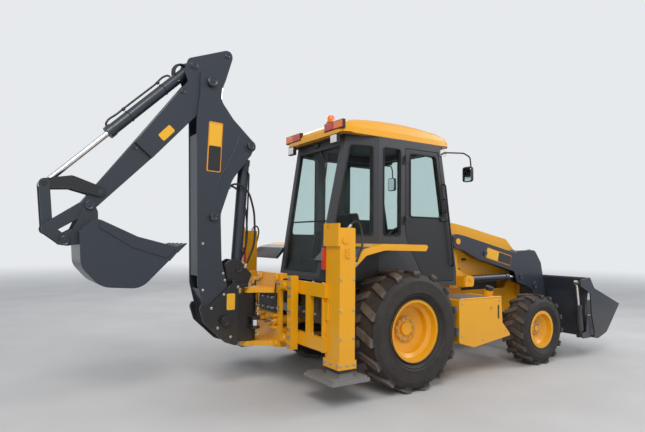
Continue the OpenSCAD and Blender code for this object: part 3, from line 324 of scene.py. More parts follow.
RED = lens("red_lens", (0.50, 0.02, 0.008), glow=0.08)
CLEAR = lens("clear_lens", (0.74, 0.74, 0.72), glow=0.12, ribs=60.0)
MIRROR = bright_metal("mirror_silver", (0.85, 0.87, 0.88), 0.02, 0.02)
FOIL = painted("blank_yellow_foil", (0.80, 0.42, 0.012), (0.5, 0.4, 0.2), rough=0.4, coat=0.1, edge=0.1, dust=0.1,
               grain=800.0)
FOIL_BLACK = painted("blank_black_foil", (0.012, 0.012, 0.013), (0.1, 0.1, 0.1), rough=0.35, coat=0.2, edge=0.1,
                     dust=0.1, grain=800.0)
FOIL_EDGE = painted("blank_orange_foil", (0.72, 0.27, 0.012), (0.5, 0.3, 0.1), rough=0.4, coat=0.1, edge=0.1,
                    dust=0.1)
PAD = painted("pad_worn_paint", (0.055, 0.050, 0.047), (0.26, 0.24, 0.21), rough=0.65, coat=0.0, edge=0.9, dust=0.8,
              reach=0.3, bump=0.3,
              grain=120.0, dust_colour=(0.16, 0.14, 0.125))
REAR_RUBBER = tyre_rubber("rear_tyre_rubber", -MIDDLE / 1000, 0.62, 0.575, 0.612, 0.72)
FRONT_RUBBER = tyre_rubber("front_tyre_rubber", 2.222 - MIDDLE / 1000, 0.44, 0.405, 0.436, 0.5)


def darker_where(made, colour, axis, low, high, side=None):
    """A second colour over part of a coat, by its place along an axis in metres, within side metres of the middle:
    near-black over the fenders' rear inner part, painted shade on the main frame under the cab, and a paler grey on
    the stabilizer pads.
    """
    tree = made.node_tree
    put = tree.nodes["Principled BSDF"].inputs["Base Color"]
    place = add(tree, "SeparateXYZ", {0: here(tree)}).outputs
    share = ramp(tree, place[axis], low, high)
    if side:
        share = times(tree, share, ramp(tree, maths(tree, "ABSOLUTE", place["Y"]), side, side - 0.003), True)
    tree.links.new(blend_colour(tree, share, put.links[0].from_socket, colour), put)
    return made


FENDER = darker_where(yellow_coat("fender_enamel"), (0.013, 0.013, 0.014), "X", -0.86, -0.865, 1.128)
# Painted shade: the main frame's yellow coat turns near-black behind x 0.26 to 0.30 m, under the cab.
FRAME_COAT_WITH_SHADE = darker_where(yellow_coat("frame_enamel_with_painted_shade"), (0.016, 0.014, 0.013), "X", 0.30, 0.26)
STABILIZER = darker_where(painted("leg_paint", (0.010, 0.010, 0.011), (0.10, 0.09, 0.08), rough=0.45, coat=0.1,
                                  edge=0.7, dust=0.3,
                                  reach=0.5), (0.20, 0.19, 0.18), "Z", 0.345, 0.30)
FRAME_BLACK = painted("kingpost_black", (0.010, 0.011, 0.013), (0.12, 0.11, 0.10), rough=0.42, coat=0.12, edge=0.6,
                      dust=0.25, reach=0.7,
                      dust_colour=EARTH)
LEVER = painted("linkage_grey", (0.045, 0.045, 0.048), (0.20, 0.18, 0.16), rough=0.5, coat=0.1, edge=0.7, dust=0.25)

FINISH = {"yellow_paint": YELLOW, "slate_paint": SLATE, "black_paint": BLACK, "post_paint": POST,
          "rod_chrome": CHROME,
          "tyre_rubber": REAR_RUBBER, "cab_window": GLASS, "seat_vinyl": VINYL, "engine_iron": IRON,
          "lamp_lens": CLEAR,
          "trim_plastic": TRIM}
OWN = {"front_tyre": FRONT_RUBBER, "fenders": FENDER, "main_frame": FRAME_COAT_WITH_SHADE, "axles": GRIME, "knuckle": GRIME,
       "kingpost": FRAME_BLACK,
       "door_left": DOOR, "door_right": DOOR, "stabilizer": STABILIZER, "tilt_l": LEVER, "guide": FRAME_BLACK}
for part in frame["record"]["subparts"]:
    look = next((own for start, own in OWN.items() if part["node"].startswith(start)), FINISH[part["material_slot"]])
    mesh = nodes[part["node"]].data
    if mesh.materials:
        for i in range(len(mesh.materials)):
            mesh.materials[i] = look
    else:
        mesh.materials.append(look)

# ---------------------------------------------------------------- ways of making a piece


def clear():
    if bpy.context.object and bpy.context.object.mode != "OBJECT":
        bpy.ops.object.mode_set(mode="OBJECT")
    bpy.ops.object.select_all(action="DESELECT")


def hold(piece):
    clear()
    piece.select_set(True)
    bpy.context.view_layer.objects.active = piece


def settle(piece):
    """The piece's place goes into its mesh."""
    hold(piece)
    bpy.ops.object.transform_apply(location=True, rotation=True, scale=True)


def finish_with(piece, kind, **settings):
    step = piece.modifiers.new(kind, kind)
    for name, value in settings.items():
        setattr(step, name, value)
    hold(piece)
    bpy.ops.object.modifier_apply(modifier=step.name)


def soften(piece, width, segments=2, angle=30):
    finish_with(piece, "BEVEL", width=width, segments=segments, limit_method="ANGLE", angle_limit=math.radians(angle))


def smooth(piece, angle=35):
    hold(piece)
    bpy.ops.object.shade_smooth_by_angle(angle=math.radians(angle))


def box(name, lo, hi):
    """A cube primitive from one corner to the other, in metres."""
    clear()
    lo, hi = Vector(lo), Vector(hi)
    bpy.ops.mesh.primitive_cube_add(size=1, location=(lo + hi) / 2)
    piece = bpy.context.object
    piece.name = name
    piece.scale = hi - lo
    settle(piece)
    return piece


FRONT, BACK, OUT, UP = (Vector(way) for way in ((1, 0, 0), (-1, 0, 0), (0, 1, 0), (0, 0, 1)))


def block(name, lo, hi, edge, steps=2, face=None, rim=0.0, depth=0.0):
    """A box in the drawing's millimetres with softened edges; the side towards face may be inset by a rim."""
    piece = box(name, at(*lo), at(*hi))
    if face:
        turned(piece, face, (rim, depth))
    soften(piece, edge, steps)
    return piece


def drum(name, centre, axis, radius, length, vertices=32):
    """A cylinder primitive from centre along axis."""
    clear()
    axis = Vector(axis).normalized()
    bpy.ops.mesh.primitive_cylinder_add(vertices=vertices, radius=radius, depth=length,
                                        location=Vector(centre) + axis * length / 2,
                                        rotation=axis.to_track_quat("Z", "Y").to_euler())
    piece = bpy.context.object
    piece.name = name
    settle(piece)
    return piece


def torus(place, turn, radius, wire, steps):
    clear()
    bpy.ops.mesh.primitive_torus_add(major_segments=steps, minor_segments=8, major_radius=radius, minor_radius=wire,
                                     location=place, rotation=turn)
    piece = bpy.context.object
    settle(piece)
    return piece


def pick(piece, test, kind="FACE"):
    """Edit mode, with only the faces (or edges) selected that pass a test on their middle and normal."""
    hold(piece)
    mesh = piece.data
    bpy.ops.object.mode_set(mode="EDIT")
    bpy.ops.mesh.select_mode(type=kind)
    bpy.ops.mesh.select_all(action="DESELECT")
    bpy.ops.object.mode_set(mode="OBJECT")
    if kind == "FACE":
        for face in mesh.polygons:
            face.select = bool(test(face.center, face.normal))
    else:
        for edge in mesh.edges:
            a, b = (mesh.vertices[v].co for v in edge.vertices)
            edge.select = bool(test((a + b) / 2, (b - a).normalized()))
    bpy.ops.object.mode_set(mode="EDIT")


def edit(piece, test, step, kind="FACE", **settings):
    """One mesh operator on the faces (or edges) that pass a test."""
    pick(piece, test, kind)
    step(**settings)
    bpy.ops.object.mode_set(mode="OBJECT")


def anywhere(middle, normal):
    return True


def inset(piece, test, thickness, depth=0.0):
    edit(piece, test, bpy.ops.mesh.inset, thickness=thickness, depth=depth, use_even_offset=True)


def turned(piece, way, *steps):
    """The faces towards way are inset once for each (rim, depth)."""
    for rim, depth in steps:
        inset(piece, lambda c, n: n.dot(way) > 0.9, rim, depth)


def round_off(piece, test, offset, segments):
    """Bevels the edges that pass a test."""
    edit(piece, test, bpy.ops.mesh.bevel, "EDGE", offset=offset, segments=segments)


def outward(piece):
    pick(piece, anywhere)
    bpy.ops.mesh.remove_doubles(threshold=0.00001)
    bpy.ops.mesh.normals_make_consistent(inside=False)
    bpy.ops.object.mode_set(mode="OBJECT")


def copy_of(piece, name, matrix):
    other = piece.copy()
    other.data = piece.data.copy()
    other.name = name
    bpy.context.scene.collection.objects.link(other)
    other.data.transform(matrix)
    if matrix.determinant() < 0:
        other.data.flip_normals()
    return other


def joined(name, pieces):
    clear()
    for piece in pieces:
        piece.select_set(True)
    bpy.context.view_layer.objects.active = pieces[0]
    if len(pieces) > 1:
        bpy.ops.object.join()
    pieces[0].name = name
    return pieces[0]


def done(piece, material, body):
    """The last step of each piece: its finish, and the body it rides on (none before on_both_sides)."""
    piece.data.materials.clear()
    piece.data.materials.append(material)
    if not body:
        return piece
    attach(piece, body)
    return piece


MIRROR_Y = Matrix.Scale(-1, 4, (0, 1, 0))
SIDES = ((1, "left"), (-1, "right"))


def on_both_sides(piece, material, body):
    """The piece as made, on the left, and its mirror image on the right."""
    base = piece.name
    other = copy_of(piece, base + "_right", MIRROR_Y)
    piece.name = base + "_left"
    for p, side in ((piece, "left"), (other, "right")):
        done(p, material, body.replace("SIDE", side))
    return piece, other


# Small fasteners, modelled once and copied

def bolt_form():
    head = drum("bolt_form", (0, 0, 0.12), (0, 0, 1), 1.0, 0.62, 6)
    turned(head, UP, (0.16, 0.1))
    washer = drum("washer_form", (0, 0, 0), (0, 0, 1), 1.35, 0.16, 20)
    soften(washer, 0.04, 1)
    return joined("bolt_form", [head, washer])


def cap_form():
    """Head of a pin: a chamfered disc with a turned recess and a grease nipple."""
    disc = drum("cap_form", (0, 0, 0), (0, 0, 1), 1.0, 0.3, 36)
    turned(disc, UP, (0.14, 0.07))
    inset(disc, lambda c, n: n.z > 0.9 and c.z > 0.3, 0.22, -0.1)
    nipple = drum("nipple_form", (0, 0, 0.24), (0, 0, 1), 0.13, 0.26, 12)
    turned(nipple, UP, (0.05, 0.05))
    return joined("cap_form", [disc, nipple])


FORMS = {"bolt": bolt_form(), "cap": cap_form()}


def scatter(name, form, places, material, body):
    """Copies of a small form, each place (point, axis, radius in metres), joined into one piece."""
    made = []
    for point, axis, radius in places:
        turn = Vector(axis).to_track_quat("Z", "Y").to_matrix().to_4x4()
        made.append(copy_of(FORMS[form], name, Matrix.Translation(point) @ turn @ Matrix.Scale(radius, 4)))
    return done(joined(name, made), material, body)


def ring_of(centre, axis, across, count, radius, first=0.0):
    """Places for fasteners round a circle."""
    axis = Vector(axis)
    u = axis.orthogonal().normalized()
    v = axis.cross(u)
    turns = [first + math.tau * i / count for i in range(count)]
    return [(Vector(centre) + (u * math.cos(turn) + v * math.sin(turn)) * across, axis, radius) for turn in turns]


def open_curve(name, kind, points):
    """A curve object with one spline through points; its knots are returned too."""
    clear()
    bpy.ops.curve.primitive_bezier_curve_add()
    piece = bpy.context.object
    piece.name = name
    curve = piece.data
    curve.splines.clear()
    curve.dimensions = "3D"
    spline = curve.splines.new(kind)
    knots = spline.bezier_points if kind == "BEZIER" else spline.points
    knots.add(len(points) - 1)
    piece.matrix_world = Matrix.Identity(4)
    return piece, curve, knots


def line_curve(name, points, diameter, resolution=10):
    """A smooth curve through points, as one open spline."""
    piece, curve, knots = open_curve(name, "BEZIER", points)
    for knot, point in zip(knots, points):
        knot.co = point
        knot.handle_left_type = knot.handle_right_type = "AUTO"
    curve.resolution_u = curve.render_resolution_u = resolution
    curve.bevel_depth = diameter / 2
    curve.bevel_resolution = 3
    curve.use_fill_caps = True
    return piece


def as_mesh(piece):
    hold(piece)
    bpy.ops.object.convert(target="MESH")
    return bpy.context.object


def sampled(points, resolution=10):
    """The points that a smooth curve through these points follows."""
    piece = as_mesh(line_curve("route", points, 0.0, resolution))
    route = [v.co.copy() for v in piece.data.vertices]
    bpy.data.objects.remove(piece)
    return route


def collar(name, point, axis, radius, length):
    """A crimped hose fitting: a sleeve with a hexagon at its root."""
    axis = Vector(axis).normalized()
    sleeve = drum(name, point, axis, radius, length, 20)
    soften(sleeve, radius * 0.15, 1)
    nut = drum(name, Vector(point) - axis * length * 0.1, axis, radius * 1.25, length * 0.4, 6)
    soften(nut, radius * 0.1, 1)
    return joined(name, [sleeve, nut])


def hose(name, points, diameter, body, blend=None):
    """A hydraulic hose between two fittings."""
    points = [at(*p) for p in points]
    route = sampled(points)
    piece = as_mesh(line_curve(name, points, diameter))
    piece.data.materials.clear()
    piece.data.materials.append(HOSE)
    smooth(piece, 60)
    ends = [collar(name + "_fitting_a", points[0], points[1] - points[0], diameter * 0.68, diameter * 2.2),
            collar(name + "_fitting_b", points[-1], points[-2] - points[-1], diameter * 0.68, diameter * 2.2)]
    if blend:
        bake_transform(piece)
        for end, carrier in zip(ends, (blend[0], blend[1])):
            done(end, ZINC, carrier)
    else:
        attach(piece, body)
        for end in ends:
            done(end, ZINC, body)
    return piece


def pipe(name, points, diameter, body, material=None, resolution=4):
    """A bent steel pipe, or a weld bead or rail of that shape."""
    piece = as_mesh(line_curve(name, [at(*p) for p in points], diameter, resolution))
    smooth(piece, 60)
    return done(piece, material or ZINC, body)


def pipes(name, points, diameter, material, body):
    """A pipe and its mirror image."""
    return on_both_sides(pipe(name, points, diameter, None, material), material, body)


def bent(points, radius, steps=4):
    """Corner points turned into a route with round bends, in millimetres."""
    out = [points[0]]
    for a, b, c in zip(points, points[1:], points[2:]):
        a, b, c = Vector(a), Vector(b), Vector(c)
        p, q = b + (a - b).normalized() * radius, b + (c - b).normalized() * radius
        out += [tuple(p.lerp(b, t).lerp(b.lerp(q, t), t)) for t in (i / steps for i in range(steps + 1))]
    return out + [points[-1]]


def frame_round(name, outline, width):
    """A rubber section that follows a closed outline of points."""
    piece, curve, knots = open_curve(name, "POLY", outline)
    for knot, point in zip(knots, outline):
        knot.co = (*point, 1)
    curve.splines[0].use_cyclic_u = True
    curve.bevel_depth = width
    curve.bevel_resolution = 1
    return as_mesh(piece)


def rounded_outline(corners, radius, steps=5):
    """Closed outline [(x, z)] with its corners rounded."""
    out = []
    m = len(corners)
    for i in range(m):
        a, b, c = (Vector((*corners[j % m], 0)) for j in (i - 1, i, i + 1))
        p, q = b + (a - b).normalized() * radius, b + (c - b).normalized() * radius
        for k in range(steps + 1):
            t = k / steps
            v = p.lerp(b, t).lerp(b.lerp(q, t), t)
            out.append((v.x, v.y))
    return out


def side_plate(name, x, z, width, height, angle, y, thick, round_by=0.006):
    """A thin plate on a side face: middle x, z, its size and its turn, standing proud of y."""
    sign = 1 if y > 0 else -1
    piece = box(name, (-width / 2000, 0, -height / 2000), (width / 2000, sign * thick / 1000, height / 2000))
    if sign < 0:
        outward(piece)
    round_off(piece, lambda m, d: abs(d.y) > 0.9, round_by, 4)
    soften(piece, thick / 4000, 1, 50)
    piece.data.transform(Matrix.Translation(at(x, y, z)) @ Matrix.Rotation(-math.radians(angle), 4, "Y"))
    return piece


def plates(s, side, rows):
    """Blank plates where a maker puts its name."""
    for name, x, z, width, height, angle, y, thick, material, body in rows:
        done(side_plate(name + "_" + side, x, z, width, height, angle, s * y, thick, 0.014), material, body)


# ---------------------------------------------------------------- camera, light and floor


def place_camera():
    bpy.ops.object.camera_add(location=(-3.9295, -4.991, 1.537))
    camera = bpy.context.object
    camera.name = "photo_camera"
    camera.data.lens = 28.153
    camera.data.sensor_width = 36
    camera.data.clip_end = 200
    camera.rotation_mode = "QUATERNION"
    yaw, pitch = math.radians(57.16), math.radians(2.85)
    ahead = Vector((math.cos(pitch) * math.cos(yaw), math.cos(pitch) * math.sin(yaw), math.sin(pitch)))
    roll = Matrix.Rotation(math.radians(0.58), 3, "Z").to_quaternion()
    camera.rotation_quaternion = ahead.to_track_quat("-Z", "Y") @ roll
    bpy.context.scene.camera = camera


def soft_lamp(name, place, size, power, colour=(1, 1, 1)):
    bpy.ops.object.light_add(type="AREA", location=place)
    lamp = bpy.context.object
    lamp.name = name
    lamp.data.size = size
    lamp.data.energy = power
    lamp.data.color = colour
    lamp.rotation_mode = "QUATERNION"
    lamp.rotation_quaternion = (Vector((0, 0, 1.2)) - Vector(place)).to_track_quat("-Z", "Y")


def make_stage():
    clear()
    bpy.ops.mesh.primitive_circle_add(vertices=128, radius=120, fill_type="NGON")
    floor = bpy.context.object
    floor.name = "studio_floor"
    made, tree, put = shader("pale_floor", Roughness=0.9, Specular_IOR_Level=0.1)
    coord = here(tree)
    cloud = noise(tree, coord, 0.8, 6.0)
    tree.links.new(blend_colour(tree, ramp(tree, cloud, 0.3, 0.7), (0.52, 0.51, 0.50), (0.57, 0.56, 0.55)),
                   put["Base Color"])
    away = add(tree, "VectorMath", {0: coord}, operation="LENGTH").outputs["Value"]
    air = add(tree, "Emission", {"Color": (0.80, 0.82, 0.84, 1), "Strength": 1.0}).outputs[0]
    both = add(tree, "MixShader", {0: ramp(tree, away, 9.0, 30.0), 1: tree.nodes["Principled BSDF"].outputs[0],
                                   2: air})
    tree.links.new(both.outputs[0], tree.nodes["Material Output"].inputs["Surface"])
    floor.data.materials.append(made)
    world = bpy.data.worlds.new("studio_air")
    world.use_nodes = True
    tree = world.node_tree
    light = tree.nodes["Background"]
    light.inputs["Color"].default_value = (0.88, 0.93, 1.0, 1)
    light.inputs["Strength"].default_value = 0.72
    seen = add(tree, "Background", {"Color": (0.80, 0.82, 0.84, 1), "Strength": 1.0})
    path = add(tree, "LightPath").outputs
    rays = maths(tree, "MAXIMUM", path["Is Camera Ray"], path["Is Transmission Ray"])
    both = add(tree, "MixShader", {0: rays, 1: light.outputs[0], 2: seen.outputs[0]})
    tree.links.new(both.outputs[0], tree.nodes["World Output"].inputs["Surface"])
    bpy.context.scene.world = world
    soft_lamp("key_lamp", (-5.0, -6.5, 7.5), 3.5, 430, (1.0, 0.97, 0.93))
    soft_lamp("side_lamp", (7.0, -4.0, 6.0), 4.0, 260)
    soft_lamp("back_lamp", (2.0, 8.0, 7.0), 5.0, 190)
    bpy.context.scene.view_settings.view_transform = "Standard"


# ---------------------------------------------------------------- wheels


def dress_wheels():
    for wheel, x, y, z, hub, bead, half in (("rear", 0, 910, 620, 112, 304, 235),
                                            ("front", 2222, 925, 440, 66, 209, 160)):
        nuts = scatter(wheel + "_wheel_nuts", "bolt", [(p + Vector((0, 0.018, 0)), a, r) for p, a, r in
                       ring_of(at(x, y + 28, z), OUT, hub / 1000, 10, 0.011)], ZINC, None)
        on_both_sides(nuts, ZINC, wheel + "_wheel_SIDE")
        # Hub cap with its drain plug
        hub_cap = drum(wheel + "_hub_cap", at(x, y + 34, z), (0, 1, 0), hub * 0.62 / 1000, 0.026, 40)
        turned(hub_cap, OUT, (0.012, 0.006), (0.014, -0.004))
        soften(hub_cap, 0.003, 2)
        smooth(hub_cap)
        on_both_sides(hub_cap, YELLOW, wheel + "_wheel_SIDE")
        # Raised rings moulded on the sidewall
        rings = []
        for k, (r, w) in enumerate(((bead + 22, 5), (bead + 70, 3.5), (bead + 98, 4))):
            rings.append(torus(at(x, y + half - (36, 12, 1)[k], z), (math.pi / 2, 0, 0), r / 1000, w / 1000, 96))
        ring = joined(wheel + "_sidewall_rings", rings)
        smooth(ring, 60)
        on_both_sides(ring, REAR_RUBBER if wheel == "rear" else FRONT_RUBBER, wheel + "_wheel_SIDE")
        pipes(wheel + "_valve_stem", [(x, y + 20, z + bead - 70), (x, y + 50, z + bead - 62),
                                      (x, y + 66, z + bead - 58)], 0.011,
              TRIM, wheel + "_wheel_SIDE")


# ---------------------------------------------------------------- cab


def roof_shell():
    """A pressed roof: rim, small ledge, leaning wall, round shoulder and a crown that falls to both ends."""
    roof = box("roof_shell", at(-600, -635, 2712), at(1050, 635, 2925))
    edit(roof, anywhere, bpy.ops.mesh.subdivide, number_cuts=23)
    mid = at(225, 0, 2712)
    half_x, half_y, high, corner = 0.825, 0.635, 0.213, 0.11
    rim, wall, shoulder, ledge, lean = 0.068, 0.160, 0.053, 0.010, 0.012
    reach = half_y - ledge - lean
    for v in roof.data.vertices:
        a, b, t = (v.co.x - mid.x) / half_x, v.co.y / half_y, (v.co.z - mid.z) / high
        m = max(abs(a), abs(b), 0.0001)
        if m > 0.999:
            rise, shrink = t * wall, 1.0
            pulled = 0.0 if rise < rim else ledge + lean * (rise - rim) / (wall - rim)
        else:
            far = (1 - m) ** 1.6 * reach
            shrink = 1 - far / reach
            rise = 0.0 if t < 0.5 else wall + shoulder * math.sin(math.pi / 2 * min(1.0, far / corner))
            pulled = 0.0 if t < 0.5 else ledge + lean
        p, q = abs(a) / m * half_x, abs(b) / m * half_y
        cx, cy = half_x - corner, half_y - corner
        if p > cx and q > cy:
            way = Vector((p - cx, q - cy)).normalized() * (corner - pulled)
            p, q = cx + way.x, cy + way.y
        else:
            p, q = min(p, half_x - pulled), min(q, half_y - pulled)
        x = math.copysign(p, a) * shrink
        y = math.copysign(q, b) * shrink * (1 - 0.0315 * (x + half_x) / (2 * half_x))
        fall = 0.060 * ((x + 0.025) / 0.8) ** 2 * min(1.0, max(0.0, (rise - 0.070) / 0.09))
        v.co = Vector((mid.x + x, y, mid.z + rise - fall))
    outward(roof)
    smooth(roof, 32)
    done(roof, YELLOW, CHASSIS)
    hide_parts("roof")
    lip = frame_round("roof_lip", [at(x, y, 2716) for x, y in
                                   rounded_outline([(-594, -629), (1044, -611), (1044, 611), (-594, 629)], 105)],
                                   0.006)
    smooth(lip, 60)
    done(lip, TRIM, CHASSIS)
    done(block("cab_lining", (-520, -560, 2694), (960, 560, 2709), 0.004), TRIM, CHASSIS)


def lamps():
    """Rear clusters, work lamps and the beacon, which stand for the plain lamp solids."""
    def part(name, lo, hi, face, rim, depth, edge, material, slot=None):
        return on_both_sides(block(name, lo, hi, edge, 2, face, rim, depth), material, CHASSIS)[0]
    part("lamp_cluster_housing", (-606, 262, 2755), (-566, 628, 2850), BACK, 0.006, -0.006, 0.004, TRIM)
    first = part("stop_lens", (-609, 272, 2764), (-590, 450, 2841), BACK, 0.014, 0.003, 0.003, RED, "lamp_lens")
    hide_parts("lamps")
    part("turn_lens", (-609, 455, 2764), (-590, 619, 2841), BACK, 0.014, 0.003, 0.003, AMBER, "lamp_lens")
    part("rear_work_lamp", (-622, 412, 2602), (-572, 538, 2703), BACK, 0.008, -0.008, 0.005, TRIM)
    part("rear_work_lens", (-626, 421, 2611), (-612, 529, 2694), BACK, 0.014, 0.003, 0.003, CLEAR, "lamp_lens")
    part("front_work_lamp", (898, 375, 2608), (956, 505, 2710), FRONT, 0.008, -0.008, 0.005, TRIM)
    part("front_work_lens", (944, 384, 2617), (958, 496, 2700), FRONT, 0.014, 0.003, 0.003, CLEAR, "lamp_lens")
    part("corner_lamp", (850, 612, 2592), (948, 646, 2660), OUT, 0.007, -0.003, 0.004, CLEAR, "lamp_lens")
    place = at(-440, -150, 0)
    for name, radius, low, high, material, slot in (("beacon_seat", 0.062, 2.868, 2.905, YELLOW, "yellow_paint"),
                                                    ("beacon_foot", 0.056, 2.902, 2.915, TRIM, None)):
        foot = drum(name, place + Vector((0, 0, low)), (0, 0, 1), radius, high - low, 40)
        soften(foot, 0.004, 2)
        smooth(foot)
        done(foot, material, CHASSIS)
    dome = drum("beacon_dome", place + Vector((0, 0, 2.909)), UP, 0.044, 0.090, 40)
    round_off(dome, lambda m, d: m.z > 2.996 and abs(d.z) < 0.1 and (Vector((m.x, m.y, 0)) - place).length > 0.04,
              0.026, 7)
    smooth(dome, 40)
    done(dome, AMBER, CHASSIS)


def window_seals():
    def wall(x):
        return 626 - 0.279 * max(0, -100 - x)

    def behind(z):
        return -746 + 0.18 * (z - 1110)
    for name, corners, body in (("rear_side_seal", [(-611, 1610), (-170, 1610), (-170, 2600), (-434, 2600)], CHASSIS),
                                ("slim_seal", [(-34, 1610), (215, 1610), (215, 2600), (-34, 2600)], CHASSIS),
                                ("door_seal", [(365, 1830), (898, 1830), (776, 2570), (365, 2570)], "door_SIDE")):
        seal = frame_round(name, [at(x, wall(x), z) for x, z in rounded_outline(corners, 36)], 0.009)
        smooth(seal, 50)
        on_both_sides(seal, SEAL, body)
    rear = frame_round("rear_pane_seal", [at(behind(z), y, z) for y,
                                          z in ((-372, 1195), (372, 1195), (443, 2595), (-443, 2595))], 0.011)
    done(rear, SEAL, CHASSIS)
    front = frame_round("front_pane_seal", [at(x, y, z) for x, y, z in
                                            ((1014, -560, 1708), (1014, 560, 1708), (852, 560, 2622),
                                             (852, -560, 2622))], 0.011)
    done(front, SEAL, CHASSIS)
    # The bar between the lower and upper rear panes
    pipe("rear_pane_rail", [(behind(1760) - 4, -396, 1760), (behind(1760) - 4, 0, 1760),
                            (behind(1760) - 4, 396, 1760)], 0.018, CHASSIS, SEAL)


def door_furniture():
    """Pull handle outside each door and the long grab rail by the front post."""
    pipes("door_handle", bent([(905, 612, 2060), (905, 668, 2060), (912, 668, 1900), (912, 612, 1900)], 18), 0.016,
          TRIM, "door_SIDE")
    on_both_sides(block("door_latch", (850, 622, 1792), (960, 646, 1822), 0.004, 2, OUT, 0.006, 0.004), TRIM,
                  "door_SIDE")
    pipes("grab_rail", bent([(1050, 600, 1250), (1050, 660, 1250), (905, 660, 2240), (905, 610, 2240)], 26), 0.022,
          BLACK, CHASSIS)


def mirrors():
    pipes("mirror_arm", bent([(850, 640, 2600), (900, 650, 2632), (1200, 690, 2650), (1262, 735, 2600),
                              (1275, 740, 2470)], 22, 3),
          0.018, BLACK, CHASSIS)
    head = box("mirror_head", at(1222, 645, 2290), at(1262, 790, 2480))
    round_off(head, lambda m, d: abs(d.x) > 0.9, 0.034, 6)
    turned(head, FRONT, (0.02, 0.012))
    turned(head, BACK, (0.007, -0.006))
    soften(head, 0.006, 3, 40)
    smooth(head, 40)
    first = on_both_sides(head, TRIM, CHASSIS)[0]
    glass = box("mirror_glass", at(1225, 654, 2299), at(1230, 781, 2471))
    round_off(glass, lambda m, d: abs(d.x) > 0.9, 0.028, 6)
    soften(glass, 0.001, 1, 40)
    on_both_sides(glass, MIRROR, CHASSIS)
    return first


def valve_block():
    """Control valve of the backhoe: sections, spool caps and hose unions."""
    parts = []
    for y in range(-240, 240, 80):
        parts += [block("valve_section", (-996, y, 1014), (-890, y + 76, 1112), 0.004, 2, UP, 0.012, 0.006),
                  drum("spool_cap", at(-996, y + 38, 1062), BACK, 0.022, 0.004, 24),
                  collar("union", at(-930, y + 38, 1112), UP, 0.013, 0.03)]
    done(joined("valve_block", parts), BLACK, CHASSIS)


def wipers():
    def sweep(name, knots, width):
        return as_mesh(line_curve(name, [at(-757 + 0.18 * (z - 1110), y, z) for y, z in knots], width, 4))
    done(block("wiper_motor", (-505, 10, 2640), (-460, 120, 2700), 0.006, 3, BACK, 0.012, 0.008), TRIM, CHASSIS)
    done(joined("rear_wiper", [sweep("arm", ((96, 2690), (-60, 2540), (-191, 2433)), 0.011),
                               sweep("arm", ((60, 2690), (-80, 2500), (-213, 2339)), 0.011),
                               sweep("blade", ((-160, 2560), (-205, 2380), (-215, 2150)), 0.014)]), TRIM, CHASSIS)
    arm = as_mesh(line_curve("arm", [at(*p) for p in ((1024, 60, 1690), (985, 120, 1950), (948, 160, 2160))], 0.012,
                             4))
    blade = as_mesh(line_curve("blade", [at(*p) for p in ((992, 110, 1900), (956, 170, 2120), (914, 220, 2360))],
                               0.014, 4))
    done(joined("front_wiper", [arm, blade]), TRIM, CHASSIS)


def seat():
    """Sprung seat: crowned cushion and backrest on a bellows."""
    def cushion(name, lo, hi, crown, axis):
        pad = box(name, lo, hi)
        edit(pad, anywhere, bpy.ops.mesh.subdivide, number_cuts=5)
        middle, size = (Vector(lo) + Vector(hi)) / 2, Vector(hi) - Vector(lo)
        for v in pad.data.vertices:
            p = [(v.co[k] - middle[k]) / (size[k] / 2) for k in range(3)]
            others = [k for k in range(3) if k != axis]
            swell = (1 - p[others[0]] ** 4) * (1 - p[others[1]] ** 4)
            v.co[axis] += math.copysign(crown * swell, p[axis]) if abs(p[axis]) > 0.9 else 0
            for k in others:
                if abs(p[k]) > 0.99:
                    v.co[k] -= math.copysign(0.012 * (1 - swell), p[k])
        finish_with(pad, "SUBSURF", levels=2, render_levels=2)
        smooth(pad, 60)
        done(pad, VINYL, CHASSIS)
        return pad
    base = cushion("seat_cushion", at(-90, -225, 1270), at(390, 225, 1365), 0.02, 2)
    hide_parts("seat")
    back = cushion("seat_backrest", at(-60, -215, 1290), at(40, 215, 1880), 0.022, 0)
    hinge = at(-60, 0, 1330)
    lean = Matrix.Rotation(math.radians(-11), 4, "Y")
    back.data.transform(Matrix.Translation(hinge) @ lean @ Matrix.Translation(-hinge))
    for name, y in (("seat_armrest_left", 232), ("seat_armrest_right", -282)):
        rest = block(name, (-40, y, 1500), (220, y + 50, 1540), 0.014, 4)
        smooth(rest, 50)
        done(rest, VINYL, CHASSIS)
    bellows = [block("fold", (-10 + 6 * (i % 2), -170 + 6 * (i % 2), 1052 + i * 40),
                     (260 - 6 * (i % 2), 170 - 6 * (i % 2), 1090 + i * 40), 0.014, 3) for i in range(5)]
    done(joined("seat_bellows", bellows), TRIM, CHASSIS)
    done(block("seat_shell", (-110, -215, 1240), (380, 215, 1275), 0.01), TRIM, CHASSIS)


# ---------------------------------------------------------------- body panels


